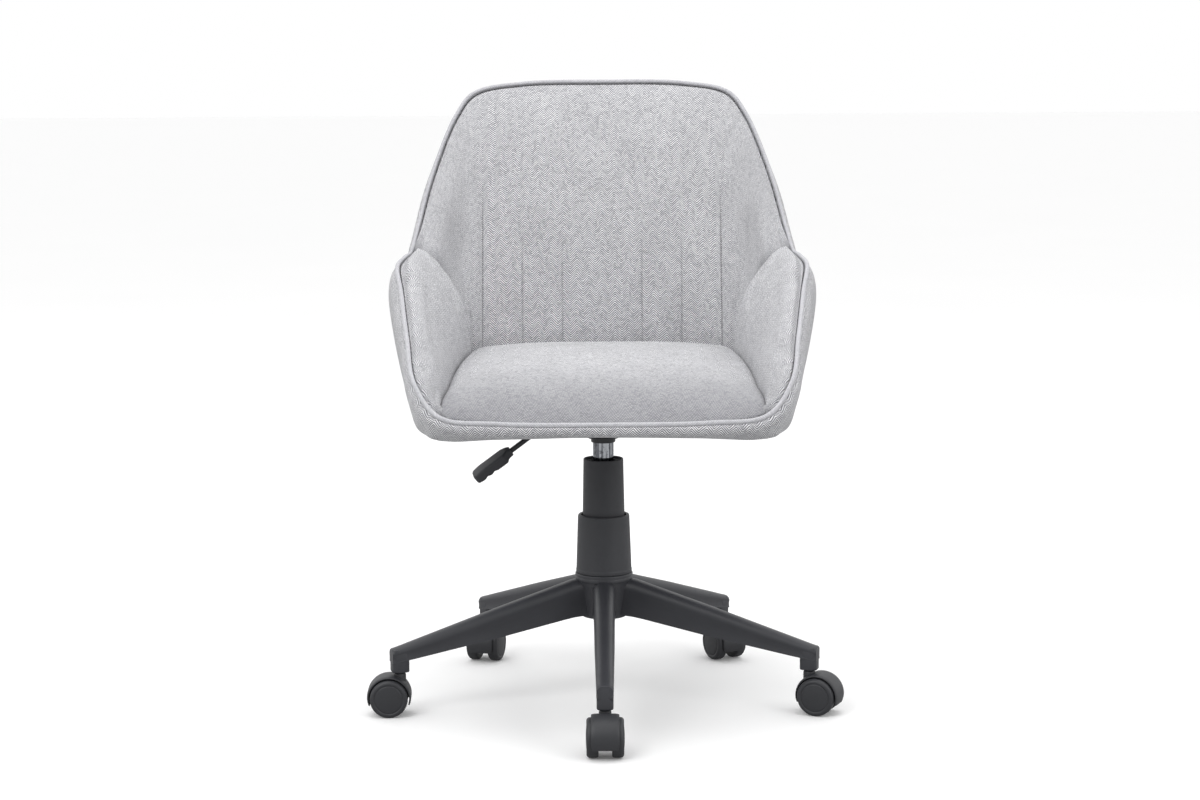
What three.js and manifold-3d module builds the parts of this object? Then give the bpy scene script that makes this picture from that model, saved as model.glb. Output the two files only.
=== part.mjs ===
// Swivel office chair: an upholstered tub seat on a gas lift, a five-star base and five twin-wheel castors.
// Millimetres, +Z up, the seat faces -Y. The origin is on the floor, on the axis of the gas lift.
import * as THREE from "three";
import { mergeVertices } from "three/addons/utils/BufferGeometryUtils.js";
import Module from "manifold-3d";

const wasm = await Module();
wasm.setup();

// ---- Driving dimensions -------------------------------------------------------------------------------------

const GAP = 0.3; // between pieces that rest on each other
const ROUND = 20; // sides of the turned pieces in the column

const WHEEL_R = 25; // rolling radius of a castor wheel
const WHEEL_SIDES = 20;
const WHEEL_INNER = 8.3; // from the middle of the castor to the wheel's inner face
const WHEEL_OUTER = 24; // to its outer face
const AXLE_R = 3;
const AXLE_HALF = 20;
const TRAIL = 14.5; // from the swivel axis back to the axle
const HOOD_R = 28.6;
const HOOD_INNER_R = 26.4;
const HOOD_HALF = 17.5;
const HOOD_ENDS = -17; // degrees below the axle where the hood ends
const HOOD_BOSS_R = 7.7;
const HOOD_TOP = 56.5;
const STEM_R = 5.5;
const STEM_BOTTOM = 42;
const STEM_TOP = 84;

const ARM_COUNT = 5;
const STEM_CIRCLE = 284.5; // radius on which the castors stand
const ARM_TIP = 296;
const SOCKET_BOTTOM = 58;
const HUB_TOP = 173;
const HUB_BOTTOM = 113;
const HUB_R = 38.5;

const TUBE_R = 25; // outer tube of the gas lift
const TUBE_TOP = 323;
const TUBE_BOTTOM = 115;
const PRESSURE_R = 14; // bright inner tube
const PRESSURE_BOTTOM = 155;
const PRESSURE_TOP = 366;
const CAVITY = [163, 352]; // inside the inner tube
const SOCKET_Z = [350, 364]; // taper socket under the seat
const PIN_R = 3;
const PIN_TOP = 370.1;

const COVER_LIP = TUBE_TOP + GAP; // the upper cover hangs on the outer tube by this lip
const UPPER_COVER = { top: 328, bottom: 236, topR: 26.8, bottomR: 28.6, wall: 1.3 };
const LOWER_COVER = { top: 252, bottom: HUB_TOP + GAP, topR: 34, bottomR: 37.3, wall: 1.6 };

const PLATE = { x: 150, y: 160, middleY: 18, sheet: 2.5, top: 385.3, channel: 90, channelBottom: 364.5 };
const BOLT_AT = { x: 60, y: 65 };
const BOLT_R = 3;
const LEVER_Z = 374;
const LEVER_R = 3.5;
const LEVER_Y = 0;

const SHELL_WALL = 10;
const WELT_R = 3;
const PAD_GAP = 1.9; // between a pad and the shell behind it
const BOARD = { x: 300, y: 300, middleY: -25, bottom: 397.6, top: 406 };

// ---- Colours and finishes -----------------------------------------------------------------------------------

const finish = (color, roughness, metalness = 0) => new THREE.MeshStandardMaterial({ color, roughness, metalness });
const fabric = finish(0xb9b9be, 0.95);
const blackPlastic = finish(0x35363a, 0.55);
const blackPaint = finish(0x2e2f33, 0.45, 0.2);
const brightSteel = finish(0xc8cacc, 0.2, 1);
const zincSteel = finish(0xa9abad, 0.4, 0.9);
const plywood = finish(0xb98f5c, 0.7);
const whitePlastic = finish(0xdcdcd6, 0.5);
const blackRubber = finish(0x1c1c1d, 0.9);
const blackCloth = finish(0x202124, 1);

// ---- Helpers ------------------------------------------------------------------------------------------------

const chair = new THREE.Group();
const radians = THREE.MathUtils.degToRad;

function add(name, geometry, material, parent = chair) {
  const mesh = new THREE.Mesh(geometry, material);
  mesh.name = name;
  parent.add(mesh);
  return mesh;
}

// Merges equal corner points and turns the faces outwards.
function closed(geometry) {
  const bare = new THREE.BufferGeometry().setAttribute("position", geometry.getAttribute("position").clone());
  bare.setIndex(geometry.index);
  const merged = mergeVertices(bare, 1e-3);
  const p = merged.attributes.position;
  const index = merged.index.array;
  const [a, b, c] = [new THREE.Vector3(), new THREE.Vector3(), new THREE.Vector3()];
  const kept = [];
  let volume = 0;
  for (let i = 0; i < index.length; i += 3) {
    const [u, v, w] = index.slice(i, i + 3);
    if (u === v || v === w || w === u) continue;
    kept.push(u, v, w);
    volume += a.fromBufferAttribute(p, u).dot(b.fromBufferAttribute(p, v).cross(c.fromBufferAttribute(p, w)));
  }
  if (volume < 0) kept.reverse();
  return merged.setIndex(kept);
}

function toSolid(geometry) {
  const g = closed(geometry);
  return new wasm.Manifold(
    new wasm.Mesh({
      numProp: 3,
      vertProperties: new Float32Array(g.attributes.position.array),
      triVerts: new Uint32Array(g.index.array),
    }),
  );
}

function toGeometry(solid) {
  const m = solid.getMesh();
  return new THREE.BufferGeometry()
    .setAttribute("position", new THREE.BufferAttribute(new Float32Array(m.vertProperties), 3))
    .setIndex(new THREE.BufferAttribute(new Uint32Array(m.triVerts), 1));
}

const join = (...parts) => toGeometry(parts.map(toSolid).reduce((a, b) => a.add(b)));
const cut = (body, ...tools) => toGeometry(tools.map(toSolid).reduce((a, b) => a.subtract(b), toSolid(body)));

// A turned piece about Z from [radius, height] pairs, which start and end on the axis or close on themselves.
function turned(profile, sides = ROUND) {
  const points = profile.map(([r, h]) => new THREE.Vector2(r, h));
  return closed(new THREE.LatheGeometry(points, sides, Math.PI / sides).rotateX(Math.PI / 2));
}

// A turned ring: the profile is closed back to its first corner.
const ring = (profile, sides = ROUND) => turned([...profile, profile[0]], sides);
const washer = (inner, outer, low, high, sides) =>
  ring([[inner, low], [outer, low], [outer, high], [inner, high]], sides);
const rod = (r, low, high, sides) => turned([[0, low], [r, low], [r, high], [0, high]], sides);
const block = (x, y, z, at) => new THREE.BoxGeometry(x, y, z).translate(...at);

// Joins rings of points into a closed body. A ring of one point is a pole; without poles the last ring meets the first.
function wrap(rings) {
  const points = [];
  const starts = rings.map((r) => points.push(...r) - r.length);
  const index = [];
  const last = rings.length - (rings[0].length === 1 ? 1 : 0);
  for (let k = 0; k < last; k++) {
    const [a, b] = [rings[k].length, rings[(k + 1) % rings.length].length];
    const [p, q] = [starts[k], starts[(k + 1) % rings.length]];
    const n = Math.max(a, b);
    for (let i = 0; i < n; i++) {
      const j = (i + 1) % n;
      if (a > 1) index.push(p + i, p + j, q + (b > 1 ? i : 0));
      if (b > 1) index.push(q + i, p + (a > 1 ? j : 0), q + j);
    }
  }
  return closed(new THREE.BufferGeometry().setFromPoints(points).setIndex(index));
}

// A closed body between two sheets of points with the same rows and columns.
function slab(front, back) {
  const sections = front.map((row, i) => [...row, ...back[i].slice().reverse()]);
  const points = sections.flat();
  const n = sections[0].length;
  const index = [];
  const quad = (a, b, c, d) => index.push(a, b, c, a, c, d);
  for (let k = 0; k + 1 < sections.length; k++)
    for (let i = 0; i < n; i++) {
      const j = (i + 1) % n;
      quad(k * n + i, k * n + j, (k + 1) * n + j, (k + 1) * n + i);
    }
  const end = (sections.length - 1) * n;
  for (let i = 0; i + 1 < n / 2; i++) {
    quad(i, n - 1 - i, n - 2 - i, i + 1);
    quad(end + i, end + i + 1, end + n - 2 - i, end + n - 1 - i);
  }
  return closed(new THREE.BufferGeometry().setFromPoints(points).setIndex(index));
}

// ---- Tub: the loops that shape the seat ---------------------------------------------------------------------
// Each loop is half of a closed line, from the middle of the front edge, up and over the arm, to the middle of the
// back. The same place in each list is the same place round the tub.

const RIM = [
  [0, -262, 410], [130, -260, 411.5], [202, -249, 418], [235, -215, 454], [250, -140, 505], [264, -50, 558],
  [273, 5, 585], [268, 60, 594], [262, 120, 599], [258, 158, 620], [239, 225, 701], [207, 272, 783],
  [182, 289, 814], [118, 301, 827], [0, 306, 829.5],
];
const UPPER = [
  [0, -265, 405], [130, -263, 406], [206, -252, 411], [240, -215, 443], [256, -140, 491], [272, -50, 543],
  [281, 6, 571], [279, 62, 579], [273, 124, 584], [267, 166, 604], [247, 238, 688], [213, 288, 768],
  [184, 305, 797], [118, 317, 807], [0, 321, 809],
];
const BELLY = [
  [0, -263, 399], [129, -261, 399], [205, -248, 402], [236, -212, 419], [253, -133, 450], [270, -52, 498],
  [283, 2, 536], [284, 62, 536], [277, 130, 532], [266, 178, 552], [241, 228, 590], [197, 258, 618],
  [150, 272, 632], [84, 281, 640], [0, 284, 642],
];
const LOWER = [
  [0, -255, 395], [127, -253, 393.5], [201, -239, 391.5], [227, -203, 394], [240, -128, 401], [249, -60, 407],
  [252, 0, 409], [249, 58, 411], [242, 112, 412], [228, 150, 414], [204, 184, 416], [170, 206, 418],
  [132, 217, 420], [74, 224, 420], [0, 226, 420],
];
const FOOT = [
  [0, -236, 391.5], [120, -235, 389], [183, -219, 383.5], [210, -184, 381], [218, -120, 380], [219, -50, 380],
  [217, 0, 380], [208, 50, 380], [196, 98, 380], [182, 132, 380], [160, 160, 380], [130, 180, 380],
  [100, 190, 380], [56, 196, 380], [0, 198, 380],
];
const TUB = [FOOT, LOWER, BELLY, UPPER, RIM];

// The faces that a sitter touches: arms and back, from below the seat cushion up to the welt.
const INNER_RIM = [
  [0, -255, 412], [127, -253, 413], [194, -243, 420], [226, -211, 455], [241, -137, 507], [255, -49, 559],
  [261, 4, 586], [258, 58, 595], [252, 115, 600], [247, 150, 622], [228, 215, 700], [197, 262, 778],
  [173, 279, 807], [112, 291, 818], [0, 296, 820],
];
const INNER_UPPER = [
  [0, -252, 411], [122, -250, 412], [190, -241, 419], [218, -209, 446], [229, -138, 488], [242, -52, 536],
  [243, 2, 568], [239, 56, 578], [228, 112, 582], [222, 148, 615], [212, 200, 690], [190, 243, 757],
  [166, 258, 779], [108, 268, 787], [0, 272, 790],
];
const INNER_MIDDLE = [
  [0, -250, 410], [118, -249, 411], [186, -240, 416], [209, -210, 434], [213, -138, 458], [221, -54, 500],
  [214, 0, 524], [209, 52, 534], [196, 104, 532], [196, 138, 560], [186, 168, 594], [164, 186, 608],
  [126, 193, 614], [68, 197, 618], [0, 198, 620],
];
const INNER_LOWER = [
  [0, -250, 408], [116, -249, 408], [181, -240, 411], [202, -210, 418], [196, -140, 424], [194, -60, 428],
  [191, -10, 430], [187, 45, 430], [176, 98, 430], [165, 122, 430], [141, 142, 430], [112, 151, 430],
  [84, 155, 430], [45, 157, 430], [0, 157, 430],
];
const INSIDE = [INNER_LOWER, INNER_MIDDLE, INNER_UPPER, INNER_RIM];

const STEPS = 2; // samples between two places round the tub
const PLACES = RIM.length - 1;
const AROUND = 2 * PLACES * STEPS;
const CORNER = 2.5; // place where an arm pad meets the front corner
const CREASE = 8; // place where an arm pad meets the back pad

// A closed curve through a half loop and its mirror image.
function loopCurve(half) {
  const right = half.map(([x, y, z]) => new THREE.Vector3(x, y, z));
  const left = right.slice(1, -1).reverse().map((p) => new THREE.Vector3(-p.x, p.y, p.z));
  return new THREE.CatmullRomCurve3([...right, ...left], true, "centripetal");
}

// The surface through a set of loops: place runs round the tub, height from 0 on the first loop to 1 on the last.
function surfaceThrough(loops) {
  const curves = loops.map(loopCurve);
  return (place, height) => {
    const t = THREE.MathUtils.euclideanModulo(place / (2 * PLACES), 1);
    const across = new THREE.CatmullRomCurve3(curves.map((c) => c.getPoint(t)), false, "centripetal");
    return across.getPoint(height);
  };
}

const outside = surfaceThrough(TUB);
const inside = surfaceThrough(INSIDE);

// A point of the outside moved inwards, square to the surface.
function within(place, height, depth) {
  const e = 0.01;
  const low = Math.max(0, height - e);
  const high = Math.min(1, height + e);
  const along = outside(place + e, height).sub(outside(place - e, height));
  const up = outside(place, high).sub(outside(place, low));
  return outside(place, height).addScaledVector(up.cross(along).normalize(), depth);
}

const SHELL_ROWS = [0, 0.14, 0.28, 0.42, 0.56, 0.7, 0.85, 1];
const PAD_ROWS = SHELL_ROWS.slice(2);

// The height at which the wall ends, just below the welt.
const topHeight = (place) => 1 - (0.25 * (WELT_R + 0.7)) / outside(place, 1).distanceTo(outside(place, 0.75));

// Places round the tub from a to b, with both ends.
function placesFrom(a, b) {
  const even = Array.from({ length: AROUND + 1 }, (_, i) => i / STEPS).filter((s) => s > a && s < b);
  return [a, ...even, b];
}

// The rigid tub: a wall of even thickness whose underside is dished up for the seat plate.
function shell() {
  const around = placesFrom(0, 2 * PLACES).slice(0, AROUND);
  const wall = (depth) => SHELL_ROWS.map((h) => around.map((s) => within(s, h * topHeight(s), depth)));
  const dish = (lift) => around.map((s) => {
    const p = outside(s, 0).multiplyScalar(0.78);
    return new THREE.Vector3(p.x, p.y - 6, lift);
  });
  const [under, over] = [387, 387 + SHELL_WALL];
  const body = wrap([
    [new THREE.Vector3(0, -15, under)], dish(under), ...wall(0), ...wall(SHELL_WALL).reverse(), dish(over),
    [new THREE.Vector3(0, -15, over)],
  ]);
  return cut(body, ...boltPlaces().map(([x, y]) => rod(BOLT_R + 0.8, 370, 405, 12).translate(x, y, 0)));
}

// A pad between the sitter's side and the shell, from one place round the tub to another.
function pad(from, to) {
  const places = placesFrom(from, to);
  const front = places.map((s) => PAD_ROWS.map((_, i) => inside(s, i / (PAD_ROWS.length - 1))));
  const back = places.map((s) => PAD_ROWS.map((h) => within(s, h * topHeight(s), SHELL_WALL + PAD_GAP)));
  return slab(front, back);
}

// The cushion: a crowned top over upright sides that follow the inside of the tub.
function seatCushion() {
  const side = [
    [0, -252, 412], [119, -250, 412], [179, -240, 415.5], [193, -210, 424], [188, -140, 432], [186, -60, 438],
    [183, -10, 440], [179, 42, 442], [168, 92, 444], [157, 114, 444], [134, 132, 444], [106, 141, 444],
    [80, 145, 444], [43, 147, 444], [0, 147, 444],
  ];
  const curve = loopCurve(side);
  const edge = Array.from({ length: AROUND }, (_, i) => curve.getPoint(i / AROUND));
  const [crown, middleY, foot] = [480, -25, BOARD.top + 0.6];
  const level = (share, z) => edge.map((p) => new THREE.Vector3(p.x * share, middleY + (p.y - middleY) * share, z(p)));
  const domed = (share) => level(share, (p) => p.z + (crown - p.z) * (1 - share ** 2.4));
  return wrap([
    [new THREE.Vector3(0, middleY, foot)], level(0.93, () => foot), level(0.985, (p) => (p.z + foot) / 2), domed(1),
    domed(0.9), domed(0.72), domed(0.4), [new THREE.Vector3(0, middleY, crown)],
  ]);
}

// The piping round the rim.
function welt() {
  const curve = loopCurve(RIM);
  const [count, sides] = [AROUND, 6];
  const sections = Array.from({ length: count }, (_, i) => {
    const t = i / count;
    const centre = curve.getPoint(t);
    const along = curve.getTangent(t);
    const out = new THREE.Vector3(centre.x, centre.y, 0).cross(along).normalize();
    const up = along.clone().cross(out);
    return Array.from({ length: sides }, (_, k) => {
      const a = (2 * Math.PI * k) / sides;
      return centre.clone().addScaledVector(out, WELT_R * Math.cos(a)).addScaledVector(up, WELT_R * Math.sin(a));
    });
  });
  return wrap(sections);
}

// ---- Castors ------------------------------------------------------------------------------------------------
// A castor is built round its swivel axis with its axle TRAIL behind it, along -X, and the axle along Y.

const alongY = (geometry) => geometry.rotateX(-Math.PI / 2);

// An extruded outline in the XZ plane, centred on Y.
function plateXZ(shape, width, curveSegments = 6) {
  const g = new THREE.ExtrudeGeometry(shape, { depth: width, bevelEnabled: false, curveSegments });
  return g.translate(0, 0, -width / 2).rotateX(Math.PI / 2);
}

function hood() {
  const [low, high] = [radians(HOOD_ENDS), Math.PI - radians(HOOD_ENDS)];
  const guard = new THREE.Shape();
  guard.absarc(0, 0, HOOD_R, low, high, false);
  guard.absarc(0, 0, HOOD_INNER_R, high, low, true);
  const web = new THREE.Shape();
  web.absarc(0, 0, (HOOD_R + HOOD_INNER_R) / 2, 0, Math.PI, false);
  web.lineTo(-HOOD_BOSS_R, -4);
  web.lineTo(HOOD_BOSS_R, -4);
  const body = join(
    plateXZ(guard, 2 * HOOD_HALF), plateXZ(web, 2 * HOOD_BOSS_R),
    alongY(rod(HOOD_BOSS_R + 0.4, -HOOD_BOSS_R, HOOD_BOSS_R, 16)),
    rod(HOOD_BOSS_R, 12, HOOD_TOP - WHEEL_R, 16).translate(TRAIL, 0, 0),
  );
  const stemHole = rod(STEM_R + 0.5, STEM_BOTTOM - WHEEL_R - 0.5, 40, 12).translate(TRAIL, 0, 0);
  const axleHole = alongY(rod(AXLE_R + GAP, -10, 10, 12));
  return cut(body, stemHole, axleHole);
}

function wheel() {
  const tread = WHEEL_R / Math.cos(Math.PI / WHEEL_SIDES);
  const bore = AXLE_R + 0.4;
  const blind = AXLE_HALF + 0.6;
  return alongY(turned([
    [0, WHEEL_OUTER], [21.8, WHEEL_OUTER], [tread, WHEEL_OUTER - 3], [tread, WHEEL_INNER + 1],
    [tread - 1, WHEEL_INNER], [bore, WHEEL_INNER], [bore, blind], [0, blind],
  ], WHEEL_SIDES));
}

function castorStem() {
  const [groove, low, high] = [4.7, 70, 73];
  return turned([
    [0, STEM_BOTTOM], [STEM_R, STEM_BOTTOM], [STEM_R, low], [groove, low], [groove, high], [STEM_R, high],
    [STEM_R, STEM_TOP - 1.5], [STEM_R - 1.5, STEM_TOP], [0, STEM_TOP],
  ], 12);
}

// The split ring that holds a stem in its socket.
function gripRing() {
  const [inner, outer, open] = [4.95, 5.65, radians(25)];
  const shape = new THREE.Shape();
  shape.absarc(0, 0, outer, open, 2 * Math.PI - open, false);
  shape.absarc(0, 0, inner, 2 * Math.PI - open, open, true);
  const g = new THREE.ExtrudeGeometry(shape, { depth: 2.4, bevelEnabled: false, curveSegments: 6 });
  return closed(g.translate(0, 0, 70.3));
}

// How far each castor is turned about its stem. At 0 degrees it trails towards -X, at 90 towards -Y.
const CASTORS = [
  { name: "front", arm: 0, yaw: 90 },
  { name: "right", arm: 72, yaw: 157 },
  { name: "rear_right", arm: 144, yaw: 118 },
  { name: "rear_left", arm: 216, yaw: 75 },
  { name: "left", arm: 288, yaw: 2 },
];

function addCastor({ name, arm, yaw }) {
  const stand = new THREE.Group();
  stand.position.set(STEM_CIRCLE * Math.sin(radians(arm)), -STEM_CIRCLE * Math.cos(radians(arm)), 0);
  chair.add(stand);
  add(`castor_stem_${name}`, castorStem(), zincSteel, stand);
  add(`castor_grip_ring_${name}`, gripRing(), zincSteel, stand);
  const turning = new THREE.Group();
  turning.rotation.z = radians(yaw);
  stand.add(turning);
  const axle = new THREE.Group();
  axle.position.set(-TRAIL, 0, WHEEL_R);
  turning.add(axle);
  add(`castor_hood_${name}`, hood(), blackPlastic, axle);
  add(`castor_axle_${name}`, alongY(rod(AXLE_R, -AXLE_HALF, AXLE_HALF, 10)), zincSteel, axle);
  add(`castor_wheel_a_${name}`, wheel(), blackPlastic, axle);
  add(`castor_wheel_b_${name}`, wheel().rotateZ(Math.PI), blackPlastic, axle);
}

// ---- Five-star base -----------------------------------------------------------------------------------------

// Cross-sections of a moulded arm: an arch with upright sides, at a distance from the hub.
function archSection(distance, width, bottom, top) {
  const round = Math.min(width / 2, top - bottom) * 0.7;
  const half = width / 2;
  const arc = (from) => [0, 1, 2].map((k) => from + (k * Math.PI) / 4);
  const right = arc(0).map((a) => [half - round + round * Math.cos(a), top - round + round * Math.sin(a)]);
  const left = arc(Math.PI / 2).map((a) => [-half + round + round * Math.cos(a), top - round + round * Math.sin(a)]);
  return [[half, bottom], ...right, ...left, [-half, bottom]].map(([x, z]) => new THREE.Vector3(x, -distance, z));
}

function lofted(sections) {
  const centre = (s) => [s.reduce((a, p) => a.add(p), new THREE.Vector3()).divideScalar(s.length)];
  return wrap([centre(sections[0]), ...sections, centre(sections.at(-1))]);
}

function baseArm() {
  const outer = lofted([
    archSection(20, 29, 121, 171), archSection(60, 28.5, 114, 160), archSection(150, 26, 96.5, 134),
    archSection(262, 22, 77, 99.5), archSection(ARM_TIP - 1.5, 21, 72, 89.5), archSection(ARM_TIP, 20, 72, 88.5),
  ]);
  const socket = block(20.6, 23, 30, [0, -STEM_CIRCLE, SOCKET_BOTTOM + 15]);
  const channel = lofted([
    archSection(44, 21, 100, 158), archSection(150, 18, 80, 129), archSection(262, 14, 60, 95.5),
  ]);
  const ribs = [95, 150, 205].map((at) => block(22, 3, 60, [0, -at, 157 - at * 0.26 - 18]));
  const ribbed = toSolid(join(outer, socket)).subtract(toSolid(channel));
  const crossRibs = ribs.map((r) => toSolid(r).intersect(toSolid(outer)));
  const bore = toSolid(rod(STEM_R + 0.5, 40, STEM_TOP + 1, 12).translate(0, -STEM_CIRCLE, 0));
  return toGeometry(crossRibs.reduce((a, b) => a.add(b), ribbed).subtract(bore));
}

function starBase() {
  const hub = turned([
    [0, HUB_BOTTOM], [25, HUB_BOTTOM], [30, HUB_BOTTOM + 5], [31.5, HUB_BOTTOM + 14], [36.5, 150], [HUB_R, 166],
    [HUB_R, HUB_TOP - 1.5], [HUB_R - 1.5, HUB_TOP], [0, HUB_TOP],
  ]);
  const arms = Array.from({ length: ARM_COUNT }, (_, i) => baseArm().rotateZ(radians((360 / ARM_COUNT) * i)));
  const taper = turned([[0, HUB_BOTTOM - 10], [24.5, HUB_BOTTOM - 10], [TUBE_R + 0.4, HUB_TOP + 1], [0, HUB_TOP + 1]]);
  return cut(join(hub, ...arms), taper);
}

// ---- Gas lift and its covers --------------------------------------------------------------------------------

const outerTube = () => ring([
  [6.2, TUBE_BOTTOM], [23.9, TUBE_BOTTOM], [TUBE_R, HUB_TOP], [TUBE_R, TUBE_TOP], [23.4, TUBE_TOP],
  [23.4, HUB_TOP], [22.2, TUBE_BOTTOM + 3], [6.2, TUBE_BOTTOM + 3],
]);

const pressureTube = () => ring([
  [5.7, PRESSURE_BOTTOM], [PRESSURE_R, PRESSURE_BOTTOM], [PRESSURE_R, SOCKET_Z[0]], [12.8, PRESSURE_TOP],
  [PIN_R + 0.4, PRESSURE_TOP], [PIN_R + 0.4, CAVITY[1]], [12, CAVITY[1]], [12, CAVITY[0]], [5.7, CAVITY[0]],
]);

// Rod, collar on the bearing, groove for the clip and the piston head.
const pistonRod = () => turned([
  [0, 109], [5, 109], [5, 112.8], [4, 112.8], [4, 114.8], [5, 114.8], [5, 126.3], [8, 126.3], [8, 130], [5, 130],
  [5, 300], [11.3, 300], [11.3, 311], [5, 311], [5, 314], [0, 314],
], 12);

const valvePin = () => turned([[0, 338], [PIN_R, 338], [PIN_R, 342], [5, 342], [5, 346], [PIN_R, 346],
  [PIN_R, PIN_TOP - 1], [PIN_R - 1, PIN_TOP], [0, PIN_TOP]], 12);

function retainingClip() {
  const open = radians(35);
  const shape = new THREE.Shape();
  shape.absarc(0, 0, 8.6, open, 2 * Math.PI - open, false);
  shape.absarc(0, 0, 4.4, 2 * Math.PI - open, open, true);
  const g = new THREE.ExtrudeGeometry(shape, { depth: 1.4, bevelEnabled: false, curveSegments: 8 });
  return closed(g.translate(0, 0, 113.1));
}

const upperCover = ({ top, bottom, topR, bottomR, wall } = UPPER_COVER) => ring([
  [bottomR, bottom], [topR, top - 0.8], [topR - 0.8, top], [topR - wall, top], [topR - wall, COVER_LIP + 2],
  [PRESSURE_R + 2, COVER_LIP + 2], [PRESSURE_R + 2, COVER_LIP], [topR - wall, COVER_LIP], [bottomR - wall, bottom],
]);

const lowerCover = ({ top, bottom, topR, bottomR, wall } = LOWER_COVER) => ring([
  [bottomR, bottom], [bottomR, bottom + 3], [topR, top - 1], [topR - 1, top], [30.4, top], [30.4, top - 2],
  [topR - wall, top - 3], [bottomR - wall, bottom],
]);

function addColumn() {
  add("gas_lift_outer_tube", outerTube(), blackPaint);
  add("gas_lift_guide_sleeve", washer(PRESSURE_R + 0.45, 22.9, 262, 321), whitePlastic);
  add("gas_lift_pressure_tube", pressureTube(), brightSteel);
  add("gas_lift_piston_rod", pistonRod(), zincSteel);
  add("gas_lift_valve_pin", valvePin(), zincSteel);
  add("bearing_lower_race", washer(6.4, 18, 118.4, 120.4), zincSteel);
  add("bearing_ball_cage", washer(6.8, 17, 120.7, 123.7), whitePlastic);
  add("bearing_upper_race", washer(5.6, 18, 124, 126), zincSteel);
  add("gas_lift_bumper", washer(5.6, 13, 130.3, PRESSURE_BOTTOM - GAP), blackRubber);
  add("gas_lift_retaining_clip", retainingClip(), zincSteel);
  add("column_cover_upper", upperCover(), blackPlastic);
  add("column_cover_lower", lowerCover(), blackPlastic);
}

// ---- Seat plate and height lever ----------------------------------------------------------------------------

const boltPlaces = () =>
  [[-1, -1], [1, -1], [-1, 1], [1, 1]].map(([i, j]) => [i * BOLT_AT.x, PLATE.middleY + j * BOLT_AT.y]);

// A folded steel plate: a channel along Y with a flange on each side.
function seatPlate() {
  const { x, y, middleY, sheet, top, channel, channelBottom } = PLATE;
  const half = channel / 2 + sheet;
  const deep = top - channelBottom;
  const wallX = channel / 2 + sheet / 2;
  const flangeX = x / 2 - half;
  const body = join(
    block(2 * half, y, sheet, [0, middleY, channelBottom + sheet / 2]),
    ...[-1, 1].flatMap((i) => [
      block(sheet, y, deep, [i * wallX, middleY, channelBottom + deep / 2]),
      block(flangeX + sheet, y, sheet, [i * (half + (flangeX - sheet) / 2), middleY, top - sheet / 2]),
    ]),
  );
  const bolts = boltPlaces().map(([bx, by]) => rod(BOLT_R + 0.4, top - 10, top + 5, 12).translate(bx, by, 0));
  const bushHole = rod(6.4, -10, 10, 16).rotateY(Math.PI / 2).translate(-wallX, LEVER_Y, LEVER_Z);
  return cut(body, ...bolts, bushHole, rod(PRESSURE_R + 1, channelBottom - 5, channelBottom + 5));
}

const taperSocket = () => ring([
  [14.4, SOCKET_Z[0]], [16.3, SOCKET_Z[0]], [16.3, 355.5], [20.5, 355.5], [20.5, 358], [16.3, 358],
  [16.3, SOCKET_Z[1]], [13.4, SOCKET_Z[1]],
]);

// The lever's centre line: level in the plate, then bent down to the grip.
const LEVER_PATH = [[4, LEVER_Z], [-62, LEVER_Z], [-75, LEVER_Z - 1.6], [-86, LEVER_Z - 7.4], [-131, 333.3]];
const GRIP_FROM = [-124, 338.5];
const GRIP_TO = [-171.5, 303.3];

function leverRod() {
  const points = LEVER_PATH.map(([x, z]) => new THREE.Vector3(x, LEVER_Y, z));
  const curve = new THREE.CatmullRomCurve3(points, false, "centripetal");
  const section = new THREE.Shape().absarc(0, 0, LEVER_R, 0, 2 * Math.PI, false);
  return closed(new THREE.ExtrudeGeometry(section, { steps: 18, extrudePath: curve, curveSegments: 5 }));
}

// A flat plastic handle along the lever's end, with finger grooves under it.
function leverGrip() {
  const length = Math.hypot(GRIP_TO[0] - GRIP_FROM[0], GRIP_TO[1] - GRIP_FROM[1]);
  const [thick, width] = [14, 24];
  const shape = new THREE.Shape();
  shape.moveTo(0, thick / 2 - 1);
  shape.lineTo(2, thick / 2);
  shape.lineTo(length - 4, thick / 2 - 1);
  shape.quadraticCurveTo(length, thick / 2 - 2, length, 0);
  shape.quadraticCurveTo(length, -thick / 2, length - 4, -thick / 2);
  shape.quadraticCurveTo(length - 11, -thick / 2 + 3.4, length - 17, -thick / 2 + 0.6);
  shape.quadraticCurveTo(length - 25, -thick / 2 + 3, length - 32, -thick / 2);
  shape.lineTo(0, -thick / 2 + 1);
  const body = plateXZ(shape, width, 4);
  const bore = rod(LEVER_R + 0.3, -1, 12, 12).rotateY(Math.PI / 2);
  const angle = Math.atan2(GRIP_TO[1] - GRIP_FROM[1], GRIP_TO[0] - GRIP_FROM[0]);
  return cut(body, bore).rotateY(-angle).translate(GRIP_FROM[0], LEVER_Y, GRIP_FROM[1]);
}

const leverBush = () => ring([[4.3, -2.4], [7, -2.4], [7, -1.55], [6, -1.55], [6, 2.6], [4.3, 2.6]], 12)
  .rotateY(Math.PI / 2).translate(-PLATE.channel / 2 - PLATE.sheet / 2, LEVER_Y, LEVER_Z);

// Hexagon-headed bolt, its head under the plate.
function seatBolt() {
  const under = PLATE.top - PLATE.sheet - GAP;
  const top = BOARD.top - 1;
  return closed(join(rod(5.6, under - 4, under, 6), rod(BOLT_R, under - 1, top, 12)));
}

function addSeatPlate() {
  add("seat_plate", seatPlate(), blackPaint);
  add("taper_socket", taperSocket(), blackPaint);
  add("lever_rod", leverRod(), blackPaint);
  add("lever_grip", leverGrip(), blackPlastic);
  add("lever_bush", leverBush(), blackPlastic);
  boltPlaces().forEach(([x, y], i) => add(`seat_bolt_${i + 1}`, seatBolt().translate(x, y, 0), zincSteel));
}

// ---- Upholstered seat ---------------------------------------------------------------------------------------

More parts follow.
